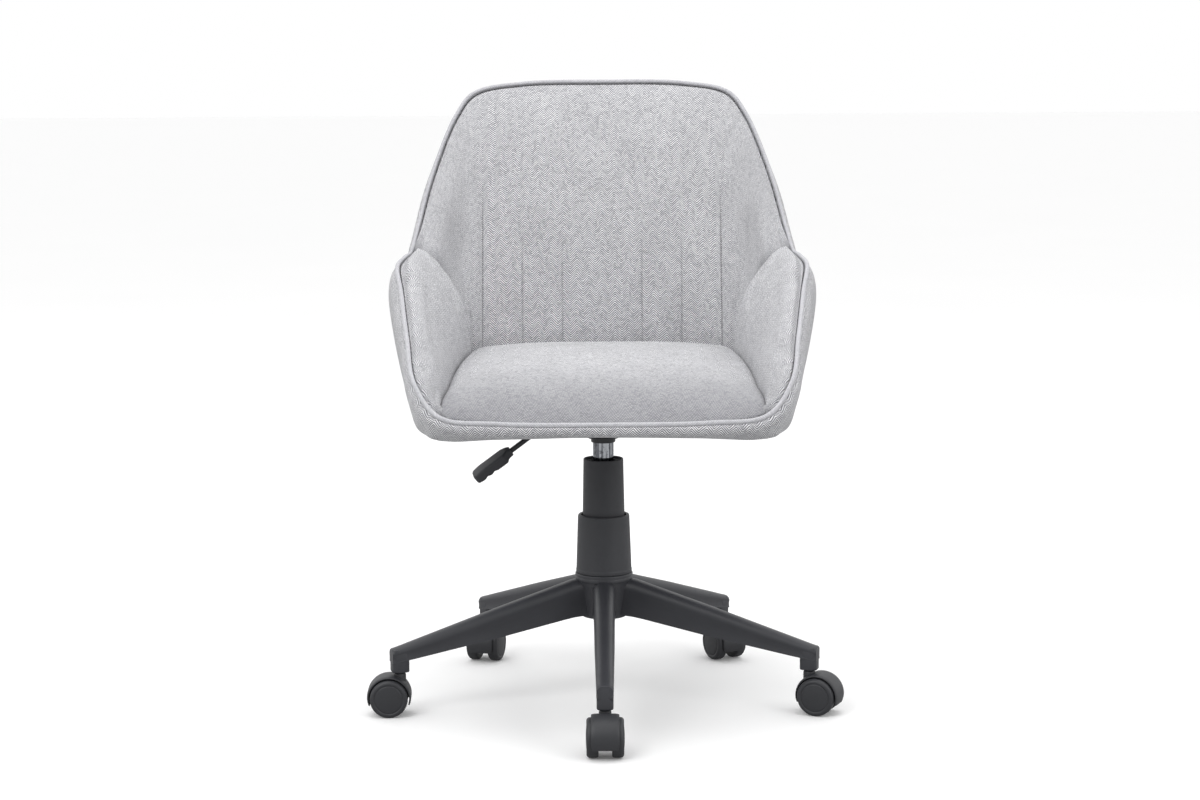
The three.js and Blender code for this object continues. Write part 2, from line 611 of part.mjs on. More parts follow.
function seatBoard() {
  const { x, y, middleY, bottom, top } = BOARD;
  const body = block(x, y, top - bottom, [0, middleY, (top + bottom) / 2]);
  return cut(body, ...boltPlaces().map(([bx, by]) => rod(BOLT_R + 0.4, 380, 420, 12).translate(bx, by, 0)));
}

function dustCover() {
  const sheet = block(270, 255, 1, [0, -32, PLATE.top + GAP + 0.5]);
  return cut(sheet, ...boltPlaces().map(([bx, by]) => rod(BOLT_R + 0.8, 380, 420, 12).translate(bx, by, 0)));
}

function addSeat() {
  add("tub_shell", shell(), fabric);
  add("seat_cushion", seatCushion(), fabric);
  add("back_pad", pad(CREASE + 0.1, 2 * PLACES - CREASE - 0.1), fabric);
  add("arm_pad_right", pad(CORNER, CREASE), fabric);
  add("arm_pad_left", pad(2 * PLACES - CREASE, 2 * PLACES - CORNER), fabric);
  add("welt", welt(), fabric);
  add("seat_board", seatBoard(), plywood);
  add("dust_cover", dustCover(), blackCloth);
}

add("star_base", starBase(), blackPaint);
CASTORS.forEach(addCastor);
addColumn();
addSeatPlate();
addSeat();

export default chair;
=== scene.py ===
import math

import bmesh
import bpy
import numpy as np
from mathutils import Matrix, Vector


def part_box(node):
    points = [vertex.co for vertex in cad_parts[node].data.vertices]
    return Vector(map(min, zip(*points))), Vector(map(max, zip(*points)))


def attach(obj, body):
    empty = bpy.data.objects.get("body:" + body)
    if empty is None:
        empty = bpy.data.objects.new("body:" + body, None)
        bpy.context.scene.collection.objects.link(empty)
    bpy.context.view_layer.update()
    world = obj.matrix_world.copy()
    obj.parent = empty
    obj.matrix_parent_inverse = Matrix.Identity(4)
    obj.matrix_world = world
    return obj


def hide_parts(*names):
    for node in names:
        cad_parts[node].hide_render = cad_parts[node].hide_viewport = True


# Looks of a swivel office chair: a grey woven tub with a piped rim, on a black gas lift, base and castors.
# Metres, +Z up, the seat faces -Y, the gas lift stands on the origin.

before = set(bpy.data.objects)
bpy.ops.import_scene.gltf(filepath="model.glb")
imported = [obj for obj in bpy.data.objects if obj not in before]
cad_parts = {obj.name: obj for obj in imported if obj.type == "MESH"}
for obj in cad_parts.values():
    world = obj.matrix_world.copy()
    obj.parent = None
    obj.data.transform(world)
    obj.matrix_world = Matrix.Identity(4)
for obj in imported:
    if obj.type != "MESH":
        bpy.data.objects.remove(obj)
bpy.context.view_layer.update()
MM = 0.001


# ---- Mesh helpers -------------------------------------------------------------------------------------------

def placed(name, data):
    """A new object in the scene, at the origin."""
    piece = bpy.data.objects.new(name, data)
    bpy.context.scene.collection.objects.link(piece)
    return piece


def read_points(mesh):
    co = np.empty(len(mesh.vertices) * 3, np.float32)
    mesh.vertices.foreach_get("co", co)
    return co.reshape(-1, 3)


def write_points(mesh, points):
    mesh.vertices.foreach_set("co", points.astype(np.float32).ravel())
    mesh.update()


def unit(vectors):
    return vectors / np.maximum(np.linalg.norm(vectors, axis=-1, keepdims=True), 1e-12)


def squared(f, power):
    """A sine or cosine drawn out towards 1 and -1, which turns a circle into a rounded square."""
    return np.sign(f) * np.abs(f) ** power


def circle(count):
    return np.linspace(0, 2 * np.pi, count, endpoint=False)


def capped(points, beyond=0.0):
    """A grid of points with a pole at the middle of its first and last rows, the second moved beyond along X."""
    pole = lambda row: np.broadcast_to(row.mean(0), row.shape)[None]
    return np.concatenate([pole(points[0]), points, pole(points[-1]) + (beyond, 0, 0)])


def surface(name, points, around=True, along=False, uv=None, fields=None, sharp=None):
    """A closed body from a grid of points: rows follow the first axis, columns the second. The columns close on
    themselves when around is set, the rows when along is set, and a row or column of equal points is a pole."""
    rows, cols = points.shape[:2]
    index = np.arange(rows * cols).reshape(rows, cols)
    index = np.vstack([index, index[:1]]) if along else index
    index = np.hstack([index, index[:, :1]]) if around else index
    corners = lambda a: np.stack([a[:-1, :-1], a[:-1, 1:], a[1:, 1:], a[1:, :-1]], 2)
    quads = corners(index).reshape(-1, 4)
    flat = points.reshape(-1, 3)
    a, b, c, d = (flat[quads[:, k]] for k in range(4))
    volume = np.einsum("ij,ij->", a, np.cross(b, c)) + np.einsum("ij,ij->", a, np.cross(c, d))
    turn = volume < 0
    quads = quads[:, ::-1] if turn else quads
    mesh = bpy.data.meshes.new(name)
    mesh.vertices.add(len(flat))
    mesh.vertices.foreach_set("co", flat.astype(np.float32).ravel())
    mesh.loops.add(quads.size)
    mesh.loops.foreach_set("vertex_index", quads.astype(np.int32).ravel())
    mesh.polygons.add(len(quads))
    mesh.polygons.foreach_set("loop_start", np.arange(0, quads.size, 4, dtype=np.int32))
    for key, values in (fields or {}).items():
        layer = mesh.attributes.new(key, "FLOAT", "POINT")
        layer.data.foreach_set("value", np.broadcast_to(values, (rows, cols)).astype(np.float32).ravel())
    if uv is not None:
        flat_uv = corners(uv).reshape(-1, 4, 2)
        flat_uv = flat_uv[:, ::-1] if turn else flat_uv
        layer = mesh.uv_layers.new(name="cloth")
        layer.data.foreach_set("uv", flat_uv.astype(np.float32).ravel())
    mesh.update(calc_edges=True)
    work = bmesh.new()
    work.from_mesh(mesh)
    bmesh.ops.remove_doubles(work, verts=work.verts, dist=2e-6)
    work.to_mesh(mesh)
    work.free()
    mesh.validate()
    mesh.shade_smooth()
    if sharp:
        mesh.set_sharp_from_angle(angle=math.radians(sharp))
    return placed(name, mesh)


def spline_between(quad, share):
    """One centripetal Catmull-Rom step between the middle two of four points."""
    a, b, c, d = quad
    gap = lambda p, q: np.maximum(((p - q) ** 2).sum(-1, keepdims=True) ** 0.25, 1e-6)
    before, here, after = gap(a, b), gap(b, c), gap(c, d)
    start = ((b - a) / before - (c - a) / (before + here) + (c - b) / here) * here
    end = ((c - b) / here - (d - b) / (here + after) + (d - c) / after) * here
    w = share[:, None]
    return b + start * w + (3 * (c - b) - 2 * start - end) * w**2 + (2 * (b - c) + start + end) * w**3


def run_on(points):
    """The points with one more at each end, as far again in a straight line."""
    return np.concatenate([2 * points[:1] - points[1:2], points, 2 * points[-1:] - points[-2:-1]])


def spline(points, t, closed):
    """The curve through a line of points, at places t counted in points from the first."""
    if closed:
        first = np.floor(t).astype(int)
        return spline_between([points[(first + k) % len(points)] for k in (-1, 0, 1, 2)], t - first)
    first = np.clip(np.floor(t).astype(int), 0, len(points) - 2)
    return spline_between([run_on(points)[first + k] for k in range(4)], t - first)


def rounded(profile, radius, loop, steps=3):
    """A corner line with each corner replaced by a small arc, which is smaller where the sides are short."""
    p = np.array(profile, float)
    out = []
    for k, here in enumerate(p):
        if not loop and k in (0, len(p) - 1):
            out.append(here[None])
            continue
        back, on = p[k - 1] - here, p[(k + 1) % len(p)] - here
        long_back, long_on = np.linalg.norm(back), np.linalg.norm(on)
        r = min(radius, 0.45 * long_back, 0.45 * long_on)
        a, b = here + back / max(long_back, 1e-9) * r, here + on / max(long_on, 1e-9) * r
        t = np.linspace(0, 1, steps + 1)[:, None]
        out.append((1 - t) ** 2 * a + 2 * t * (1 - t) * here + t**2 * b)
    return np.concatenate(out)


def turned(name, profile, sides=72, radius=0.8, closed=False, sharp=40):
    """A lathe shape: the corner line of radius and height, in millimetres, carried round Z."""
    line = rounded(profile, radius, closed) * MM
    angle = circle(sides)
    points = np.stack([line[:, :1] * np.cos(angle), line[:, :1] * np.sin(angle),
                       np.broadcast_to(line[:, 1:], (len(line), sides))], -1)
    return surface(name, points, along=closed, sharp=sharp)


def move(piece, turn=0.0, to=(0, 0, 0), tilt=None):
    """Turns a piece's points about Z, after an optional rotation matrix, and moves them."""
    points = read_points(piece.data).astype(float)
    if tilt is not None:
        points = points @ np.array(tilt, float).T
    c, s = math.cos(turn), math.sin(turn)
    write_points(piece.data, points @ np.array([[c, s, 0], [-s, c, 0], [0, 0, 1]]) + np.array(to))
    return piece


def joined(name, pieces):
    """Several meshes made into one piece."""
    work = bmesh.new()
    for piece in pieces:
        work.from_mesh(piece.data)
    mesh = bpy.data.meshes.new(name)
    work.to_mesh(mesh)
    work.free()
    mesh.update()
    for piece in pieces:
        old = piece.data
        bpy.data.objects.remove(piece)
        bpy.data.meshes.remove(old)
    return placed(name, mesh)


# ---- Shader node helpers ------------------------------------------------------------------------------------

class Net:
    """Adds and joins nodes in one tree."""

    def __init__(self, tree):
        self.tree = tree

    def node(self, kind, inputs=None, **settings):
        made = self.tree.nodes.new(kind)
        for key, value in settings.items():
            setattr(made, key, value)
        for key, value in (inputs or {}).items():
            self.feed(made.inputs[key], value)
        return made

    def use(self, tree, inputs):
        made = self.node("ShaderNodeGroup", node_tree=tree)
        for key, value in inputs.items():
            self.feed(made.inputs[key], value)
        return made.outputs

    def feed(self, socket, value):
        if isinstance(value, bpy.types.NodeSocket):
            self.tree.links.new(value, socket)
        else:
            socket.default_value = value

    def math(self, operation, a, b=0.0):
        return self.node("ShaderNodeMath", {0: a, 1: b}, operation=operation).outputs[0]

    def times(self, a, b):
        return self.math("MULTIPLY", a, b)

    def plus(self, a, b):
        return self.math("ADD", a, b)

    def vector(self, operation, a, b=(0, 0, 0)):
        return self.node("ShaderNodeVectorMath", {0: a, 1: b}, operation=operation).outputs[0]

    def scaled(self, a, factor):
        return self.node("ShaderNodeVectorMath", {0: a, "Scale": factor}, operation="SCALE").outputs[0]

    def noise(self, vector, scale, detail=2.0, roughness=0.5):
        return self.node("ShaderNodeTexNoise", {"Vector": vector, "Scale": scale, "Detail": detail,
                                                "Roughness": roughness}).outputs["Fac"]

    def mix(self, factor, a, b, blend="MIX"):
        made = self.node("ShaderNodeMix", data_type="RGBA", blend_type=blend)
        self.feed(made.inputs[0], factor)
        self.feed(made.inputs[6], a)
        self.feed(made.inputs[7], b)
        return made.outputs[2]

    def spread(self, value, low, high, to_low=0.0, to_high=1.0):
        return self.node("ShaderNodeMapRange", {"Value": value, "From Min": low, "From Max": high,
                                                "To Min": to_low, "To Max": to_high},
                         interpolation_type="SMOOTHSTEP").outputs[0]


def group(name, inputs, outputs, build):
    """A shader node group with named sockets; build joins them inside it."""
    tree = bpy.data.node_groups.new(name, "ShaderNodeTree")
    for key, (kind, value) in inputs.items():
        socket = tree.interface.new_socket(name=key, in_out="INPUT", socket_type=kind)
        if value is not None:
            socket.default_value = value
    for key, kind in outputs.items():
        tree.interface.new_socket(name=key, in_out="OUTPUT", socket_type=kind)
    net = Net(tree)
    start, end = net.node("NodeGroupInput"), net.node("NodeGroupOutput")
    for key, value in build(net, start.outputs).items():
        tree.links.new(value, end.inputs[key])
    return tree


FLOAT, COLOR, VECTOR = "NodeSocketFloat", "NodeSocketColor", "NodeSocketVector"


def build_weave(net, given):
    """Herringbone twill: a diagonal rib that turns back at each column, cut into single stitches. Each stitch
    is lighter or darker by a random number of its own, and the ribs are dark where they dip."""
    place = net.node("ShaderNodeSeparateXYZ", {0: given["Place"]}).outputs
    wander = net.times(net.math("SUBTRACT", net.noise(given["Place"], 0.03, 2), 0.5), 6.0)
    across, up = net.plus(place[0], wander), place[1]
    zigzag = net.plus(up, net.math("PINGPONG", across, given["Column"]))
    rib = net.math("DIVIDE", zigzag, given["Yarn"])
    wave = net.math("SINE", net.times(rib, 2 * math.pi))
    stitch = net.node("ShaderNodeCombineXYZ", {
        0: net.math("FLOOR", net.plus(rib, 0.25)),
        1: net.math("FLOOR", net.math("DIVIDE", across, given["Yarn"]))}).outputs[0]
    pick = net.node("ShaderNodeTexWhiteNoise", {"Vector": stitch}, noise_dimensions="2D").outputs["Value"]
    worn = net.spread(net.noise(given["Place"], 0.09, 3, 0.6), 0.3, 0.7)
    shade = net.plus(0.5, net.times(wave, 0.5))
    color = net.mix(net.spread(shade, 0.04, 0.6), given["Dark"], given["Middle"])
    pale = net.times(net.spread(shade, 0.5, 1.0), net.spread(pick, 0.35, 0.9, 0.2, 1.0))
    color = net.mix(net.times(pale, net.plus(0.7, net.times(worn, 0.3))), color, given["Light"])
    color = net.mix(net.spread(pick, 0.3, 0.0, 0.0, 0.22), color, given["Dark"])
    height = net.plus(net.times(shade, 0.65), net.times(pick, 0.35))
    return {"Color": color, "Height": height, "Roughness": net.spread(pick, 0, 1, 0.82, 0.98)}


def build_seam(net, given):
    """A sewn line: a soft groove where the distance to the seam is small, with stitches along it."""
    off = net.math("ABSOLUTE", given["Distance"])
    groove = net.times(net.spread(off, 1.9, 0.2), given["Strength"])
    stitches = net.spread(net.math("SINE", net.times(given["Along"], 2 * math.pi / 4.2)), -0.5, 0.4)
    thread = net.times(groove, net.plus(0.45, net.times(stitches, 0.55)))
    return {"Mask": thread, "Height": net.times(groove, -1.0)}


def build_moulded(net, given):
    """Moulded plastic: a fine spark-eroded grain over a slow change of tone, with soft handling marks."""
    grain = net.noise(given["Place"], given["Grain"], 3, 0.6)
    slow = net.noise(given["Place"], 0.025, 3)
    marks = net.spread(net.noise(given["Place"], 0.11, 5, 0.65), 0.5, 0.78)
    tone = net.plus(net.times(slow, 0.5), net.times(grain, 0.35))
    color = net.mix(tone, given["Deep"], given["Bright"])
    rough = net.plus(given["Roughness"], net.times(marks, 0.09))
    rough = net.plus(rough, net.times(net.math("SUBTRACT", grain, 0.5), 0.12))
    return {"Color": color, "Roughness": rough, "Height": grain}


WEAVE = group("herringbone weave", {
    "Place": (VECTOR, None), "Light": (COLOR, (0.8, 0.8, 0.8, 1)), "Middle": (COLOR, (0.5, 0.5, 0.5, 1)),
    "Dark": (COLOR, (0.2, 0.2, 0.2, 1)), "Column": (FLOAT, 9.0), "Yarn": (FLOAT, 2.2)},
    {"Color": COLOR, "Height": FLOAT, "Roughness": FLOAT}, build_weave)
SEAM = group("sewn seam", {"Distance": (FLOAT, 0.0), "Along": (FLOAT, 0.0), "Strength": (FLOAT, 0.0)},
             {"Mask": FLOAT, "Height": FLOAT}, build_seam)
MOULDED = group("moulded grain", {
    "Place": (VECTOR, None), "Bright": (COLOR, (0.05, 0.05, 0.05, 1)), "Deep": (COLOR, (0.03, 0.03, 0.03, 1)),
    "Grain": (FLOAT, 1.6), "Roughness": (FLOAT, 0.45)},
    {"Color": COLOR, "Roughness": FLOAT, "Height": FLOAT}, build_moulded)


def material(name, constants, build):
    """A material whose Principled shader has constant sockets and is fed by build."""
    made = bpy.data.materials.new(name)
    made.use_nodes = True
    net = Net(made.node_tree)
    shader = made.node_tree.nodes["Principled BSDF"]
    for key, value in constants.items():
        shader.inputs[key].default_value = value
    for key, value in build(net).items():
        net.feed(shader.inputs[key], value)
    return made


def millimetres(net):
    return net.scaled(net.node("ShaderNodeTexCoord").outputs["Object"], 1000.0)


def bumped(net, height, distance, strength=1.0, normal=None):
    inputs = {"Height": height, "Distance": distance, "Strength": strength}
    if normal is not None:
        inputs["Normal"] = normal
    return net.node("ShaderNodeBump", inputs).outputs[0]


def cloth(name, light, middle, dark, yarn=3.2, column=9.0):
    def build(net):
        place = net.scaled(net.node("ShaderNodeUVMap", uv_map="cloth").outputs[0], 1000.0)
        weave = net.use(WEAVE, {"Place": place, "Light": light, "Middle": middle, "Dark": dark, "Yarn": yarn,
                                "Column": column})
        read = lambda key: net.node("ShaderNodeAttribute", attribute_name=key).outputs["Fac"]
        seam = net.use(SEAM, {"Distance": read("seam_off"), "Along": read("seam_along"),
                              "Strength": read("seam_show")})
        tone = net.spread(net.noise(place, 0.018, 3), 0.3, 0.7, 0.0, 1.0)
        color = net.mix(net.times(tone, 0.1), weave["Color"], dark)
        # Painted shade: the "deep" field darkens the cloth towards grey rgb(100, 100, 106) in creases, beside
        # the arms and on the seat's front face, where shade falls.
        color = net.mix(net.times(read("deep"), 0.75), color, rgb(100, 100, 106))
        color = net.mix(net.times(seam["Mask"], 0.7), color, (0.07, 0.07, 0.075, 1))
        low = bumped(net, seam["Height"], 1.2 * MM)
        return {"Base Color": color, "Roughness": weave["Roughness"],
                "Normal": bumped(net, weave["Height"], 0.6 * MM, 0.7, low)}
    return material(name, {"Sheen Weight": 0.25, "Sheen Roughness": 0.5, "Specular IOR Level": 0.2}, build)


def moulded(name, bright, deep, roughness, grain=1.6, relief=0.05):
    def build(net):
        made = net.use(MOULDED, {"Place": millimetres(net), "Bright": bright, "Deep": deep,
                                 "Roughness": roughness, "Grain": grain})
        return {"Base Color": made["Color"], "Roughness": made["Roughness"],
                "Normal": bumped(net, made["Height"], relief * MM)}
    return material(name, {}, build)


def rgb(r, g, b):
    """A display colour, 0 to 255, as linear light."""
    linear = lambda v: v / 12.92 if v <= 0.04045 else ((v + 0.055) / 1.055) ** 2.4
    return (*(linear(v / 255) for v in (r, g, b)), 1.0)


def make_bright_steel():
    def build(net):
        place = millimetres(net)
        film = net.spread(net.noise(place, 0.16, 5, 0.7), 0.5, 0.68)
        streaks = net.noise(net.vector("MULTIPLY", place, (0.35, 0.35, 0.01)), 1.0, 3, 0.6)
        plated = net.mix(net.spread(streaks, 0.42, 0.6), rgb(108, 110, 116), rgb(194, 197, 202))
        lines = net.noise(net.vector("MULTIPLY", place, (0.4, 0.4, 9.0)), 1.0, 2)
        return {"Base Color": net.mix(film, plated, rgb(70, 71, 74)),
                "Roughness": net.plus(0.07, net.times(film, 0.25)),
                "Normal": bumped(net, lines, 0.01 * MM, 0.5)}
    return material("bright chrome", {"Metallic": 1.0}, build)


def make_zinc():
    def build(net):
        place = millimetres(net)
        mottle = net.noise(place, 0.25, 4, 0.6)
        return {"Base Color": net.mix(mottle, rgb(150, 152, 152), rgb(205, 205, 200)),
                "Roughness": net.spread(mottle, 0.2, 0.8, 0.25, 0.5),
                "Normal": bumped(net, mottle, 0.03 * MM)}
    return material("zinc plate", {"Metallic": 1.0}, build)


def make_plywood():
    def build(net):
        place = net.vector("MULTIPLY", millimetres(net), (1.0, 0.06, 1.0))
        rings = net.noise(place, 0.12, 4, 0.6)
        return {"Base Color": net.mix(net.spread(rings, 0.35, 0.65), rgb(196, 160, 112), rgb(160, 120, 78)),
                "Roughness": net.spread(rings, 0.2, 0.8, 0.55, 0.8),
                "Normal": bumped(net, rings, 0.2 * MM)}
    return material("plywood", {}, build)


def make_floor():
    def build(net):
        place = net.node("ShaderNodeTexCoord").outputs["Object"]
        slow = net.noise(place, 1.3, 3)
        pale = net.mix(slow, (0.95, 0.95, 0.95, 1), (0.98, 0.98, 0.98, 1))
        seen = net.node("ShaderNodeLightPath").outputs["Is Camera Ray"]
        return {"Base Color": net.mix(seen, (0.4, 0.4, 0.4, 1), pale),
                "Roughness": net.spread(slow, 0.2, 0.8, 0.7, 0.9)}
    constants = {"Specular IOR Level": 0.1, "Emission Color": (1, 1, 1, 1), "Emission Strength": 0.06}
    return material("pale floor", constants, build)


GREY_CLOTH = cloth("grey herringbone cloth", rgb(255, 255, 255), rgb(217, 217, 221), rgb(80, 80, 86))
PIPING_CLOTH = cloth("grey cloth on the bias", rgb(240, 240, 243), rgb(212, 212, 216), rgb(150, 150, 156),
                     yarn=2.2, column=400.0)
DUST_CLOTH = moulded("black underside cloth", rgb(44, 44, 47), rgb(26, 26, 28), 0.9, 0.9, 0.3)
SATIN_BLACK = moulded("satin black nylon", rgb(65, 66, 71), rgb(48, 49, 53), 0.42, 1.4, 0.05)
COVER_BLACK = moulded("matt black cover", rgb(66, 67, 71), rgb(50, 51, 55), 0.5, 1.1, 0.08)
WHEEL_BLACK = moulded("black castor nylon", rgb(58, 59, 63), rgb(43, 44, 47), 0.48, 0.9, 0.1)
BLACK_PAINT = moulded("black powder coat", rgb(52, 53, 56), rgb(38, 39, 42), 0.38, 0.7, 0.08)
WHITE_PLASTIC = moulded("white bearing plastic", rgb(226, 226, 220), rgb(205, 205, 198), 0.4)
BLACK_RUBBER = moulded("black rubber", rgb(38, 38, 38), rgb(28, 28, 28), 0.75, 0.8, 0.15)
BRIGHT_STEEL = make_bright_steel()
ZINC = make_zinc()
PLYWOOD = make_plywood()


def finish_piece(piece, surface_finish, body, slot, *nodes):
    """Gives a piece its material and its body, and hides the nodes that it stands for. The slot argument is not
    used.
    """
    piece.data.materials.clear()
    piece.data.materials.append(surface_finish)
    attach(piece, body)
    if nodes:
        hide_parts(*nodes)
    return piece


# ---- The tub's loops ----------------------------------------------------------------------------------------
# Each loop is half of a closed line in millimetres: from the middle of the front edge, up and over the arm, to
# the middle of the back. The same place in each list is the same place round the tub.

RIM = [
    (0, -262, 410), (130, -260, 411.5), (202, -249, 418), (235, -215, 454), (250, -140, 505), (264, -50, 558),
    (273, 5, 585), (268, 60, 594), (262, 120, 599), (258, 158, 620), (239, 225, 701), (207, 272, 783),
    (182, 289, 814), (118, 301, 827), (0, 306, 829.5)]
UPPER = [
    (0, -265, 405), (130, -263, 406), (206, -252, 411), (240, -215, 443), (256, -140, 491), (272, -50, 543),
    (281, 6, 571), (279, 62, 579), (273, 124, 584), (267, 166, 604), (247, 238, 688), (213, 288, 768),
    (184, 305, 797), (118, 317, 807), (0, 321, 809)]
BELLY = [
    (0, -263, 399), (129, -261, 399), (205, -248, 402), (236, -212, 419), (253, -133, 450), (270, -52, 498),
    (283, 2, 536), (284, 62, 536), (277, 130, 532), (266, 178, 552), (241, 228, 590), (197, 258, 618),
    (150, 272, 632), (84, 281, 640), (0, 284, 642)]
LOWER = [
    (0, -255, 395), (127, -253, 393.5), (201, -239, 391.5), (227, -203, 394), (240, -128, 401), (249, -60, 407),
    (252, 0, 409), (249, 58, 411), (242, 112, 412), (228, 150, 414), (204, 184, 416), (170, 206, 418),
    (132, 217, 420), (74, 224, 420), (0, 226, 420)]
FOOT = [
    (0, -236, 391.5), (120, -235, 389), (183, -219, 383.5), (210, -184, 381), (218, -120, 380), (219, -50, 380),
    (217, 0, 380), (208, 50, 380), (196, 98, 380), (182, 132, 380), (160, 160, 380), (130, 180, 380),
    (100, 190, 380), (56, 196, 380), (0, 198, 380)]
INNER_RIM = [
    (0, -255, 412), (127, -253, 413), (194, -243, 420), (226, -211, 455), (241, -137, 507), (255, -49, 559),
    (261, 4, 586), (258, 58, 595), (252, 115, 600), (247, 150, 622), (228, 215, 700), (197, 262, 778),
    (173, 279, 807), (112, 291, 818), (0, 296, 820)]
INNER_UPPER = [
    (0, -252, 411), (122, -250, 412), (190, -241, 419), (218, -209, 446), (229, -138, 488), (242, -52, 536),
    (243, 2, 568), (239, 56, 578), (228, 112, 582), (222, 148, 615), (212, 200, 690), (190, 243, 757),
    (166, 258, 779), (108, 268, 787), (0, 272, 790)]
INNER_MIDDLE = [
    (0, -250, 410), (118, -249, 411), (186, -240, 416), (209, -210, 434), (213, -138, 458), (221, -54, 500),
    (214, 0, 524), (209, 52, 534), (196, 104, 532), (196, 138, 560), (186, 168, 594), (164, 186, 608),
    (126, 193, 614), (68, 197, 618), (0, 198, 620)]
INNER_LOWER = [
    (0, -250, 408), (116, -249, 408), (181, -240, 411), (202, -210, 418), (196, -140, 424), (194, -60, 428),
    (191, -10, 430), (187, 45, 430), (176, 98, 430), (165, 122, 430), (141, 142, 430), (112, 151, 430),
    (84, 155, 430), (45, 157, 430), (0, 157, 430)]
PLACES = len(RIM) - 1
WELT_R = 3.0  # room that the shell leaves for the piping
PIPING_R = 3.1
WALL = 10.0


def whole(half):
    """The half loop and its mirror image, in metres."""
    right = np.array(half, float) * MM
    left = right[-2:0:-1] * (-1, 1, 1)
    return np.concatenate([right, left])


def sheet_through(loops, place, height):
    """The surface through a set of loops: place runs round them, height from 0 on the first to 1 on the last,
    and each point is on the curve that joins the loops at its place."""
    place, height = np.broadcast_arrays(place, height)
    knots = np.stack([spline(loop, place.ravel(), True) for loop in loops])
    h = height.ravel() * (len(loops) - 1)
    first = np.clip(np.floor(h).astype(int), 0, len(loops) - 2)
    ends, many = run_on(knots), np.arange(len(h))
    return spline_between([ends[first + k, many] for k in range(4)], h - first).reshape(*place.shape, 3)


OUTSIDE = [whole(loop) for loop in (FOOT, LOWER, BELLY, UPPER, RIM)]
RIM_LOOP, INNER_RIM_LOOP = whole(RIM), whole(INNER_RIM)
EDGE_LOOP = RIM_LOOP + (INNER_RIM_LOOP - RIM_LOOP) * 0.36 - (0, 0, 0.8 * MM)
INSIDE = [whole(INNER_LOWER), whole(INNER_MIDDLE), whole(INNER_UPPER), INNER_RIM_LOOP, EDGE_LOOP]


def normals(points):
    """Unit normals of a grid of points, from its differences both ways."""
    down, across = np.gradient(points, axis=0), np.gradient(points, axis=1)
    return unit(np.cross(across, down))


def outside(place, height):
    return sheet_through(OUTSIDE, place, height)


def top_height(place):
    """The height on the outside at which the wall ends, just below the welt."""
    rise = np.linalg.norm(outside(place, 1.0) - outside(place, 0.75), axis=-1)
    return 1 - 0.25 * (WELT_R + 0.2) * MM / rise


def wall_point(place, height, depth):
    """The outside moved inwards, square to the surface."""
    step = 0.01
    low, high = np.maximum(height - step, 0), np.minimum(height + step, 1)
    along = outside(place + step, height) - outside(place - step, height)
    up = outside(place, high) - outside(place, low)
    return outside(place, height) + unit(np.cross(up, along)) * depth


def smooth(x, low, high):
    t = np.clip((x - low) / (high - low), 0, 1)
    return t * t * (3 - 2 * t)


def lengths(points, axis):
    """Distance walked along an axis of a grid of points."""
    step = np.linalg.norm(np.diff(points, axis=axis), axis=-1)
    start = np.zeros_like(np.take(step, [0], axis=axis))
    return np.concatenate([start, np.cumsum(step, axis=axis)], axis=axis)


# ---- Upholstery ---------------------------------------------------------------------------------------------

CLOTH_SETTINGS = {
    "quality": 4, "mass": 0.02, "air_damping": 2.0, "tension_stiffness": 8.0, "compression_stiffness": 8.0,
    "shear_stiffness": 4.0, "bending_stiffness": 0.4, "vertex_group_mass": "held", "use_pressure": True,
    "uniform_pressure_force": 4.0}
CLOTH_FRAMES = 20


def inflate(piece, held, cap):
    """Swells a closed cloth body with cloth simulation. Held points stay, and others move at most the cap."""
    before = read_points(piece.data)
    pins = piece.vertex_groups.new(name="held")
    for weight in np.unique(np.round(held, 1)):
        pins.add(np.flatnonzero(np.round(held, 1) == weight).tolist(), float(weight), "REPLACE")
    cloth_step = piece.modifiers.new("cloth", "CLOTH")
    for key, value in CLOTH_SETTINGS.items():
        setattr(cloth_step.settings, key, value)
    cloth_step.settings.effector_weights.gravity = 0.0
    cloth_step.point_cache.frame_start, cloth_step.point_cache.frame_end = 1, CLOTH_FRAMES
    scene = bpy.context.scene
    for step in range(1, CLOTH_FRAMES + 1):
        scene.frame_set(step)
    shape = piece.evaluated_get(bpy.context.evaluated_depsgraph_get()).to_mesh()
    moved = read_points(shape) - before
    far = np.linalg.norm(moved, axis=1, keepdims=True)
    moved *= cap * np.tanh(far / cap) / np.maximum(far, 1e-9)
    piece.modifiers.remove(cloth_step)
    piece.vertex_groups.clear()
    write_points(piece.data, before + moved)
    scene.frame_set(1)
    print(f"{piece.name}: swelled by up to {far.max() / MM:.1f} mm, mean {far.mean() / MM:.2f} mm")


def stuffed(piece, cap):
    """Inflates a piece whose own "held" field says what is sewn down, then subdivides it once."""
    field = piece.data.attributes["held"]
    held = np.empty(len(piece.data.vertices), np.float32)
    field.data.foreach_get("value", held)
    piece.data.attributes.remove(field)
    inflate(piece, held, cap)
    finer = piece.modifiers.new("finer", "SUBSURF")
    finer.levels = finer.render_levels = 1
    return piece


PAD_HEIGHTS = (0.27, 0.48, 0.72, 0.86, 1.0)  # on the shell, behind the loops of the inside
BACK_ROWS = (36, 34, 10, 5)
ARM_ROWS = (18, 11, 9, 5)
TUFT_LINES = ((56, 600), (112, 612), (168, 668))  # distance of a sewn line from the middle, and where it fades


def rows_between(counts):
    """Heights from 0 to 1 with a number of rows to each quarter."""
    parts = [np.linspace(k / 4, (k + 1) / 4, n, endpoint=False) for k, n in enumerate(counts)]
    return np.append(np.concatenate(parts), 1.0)


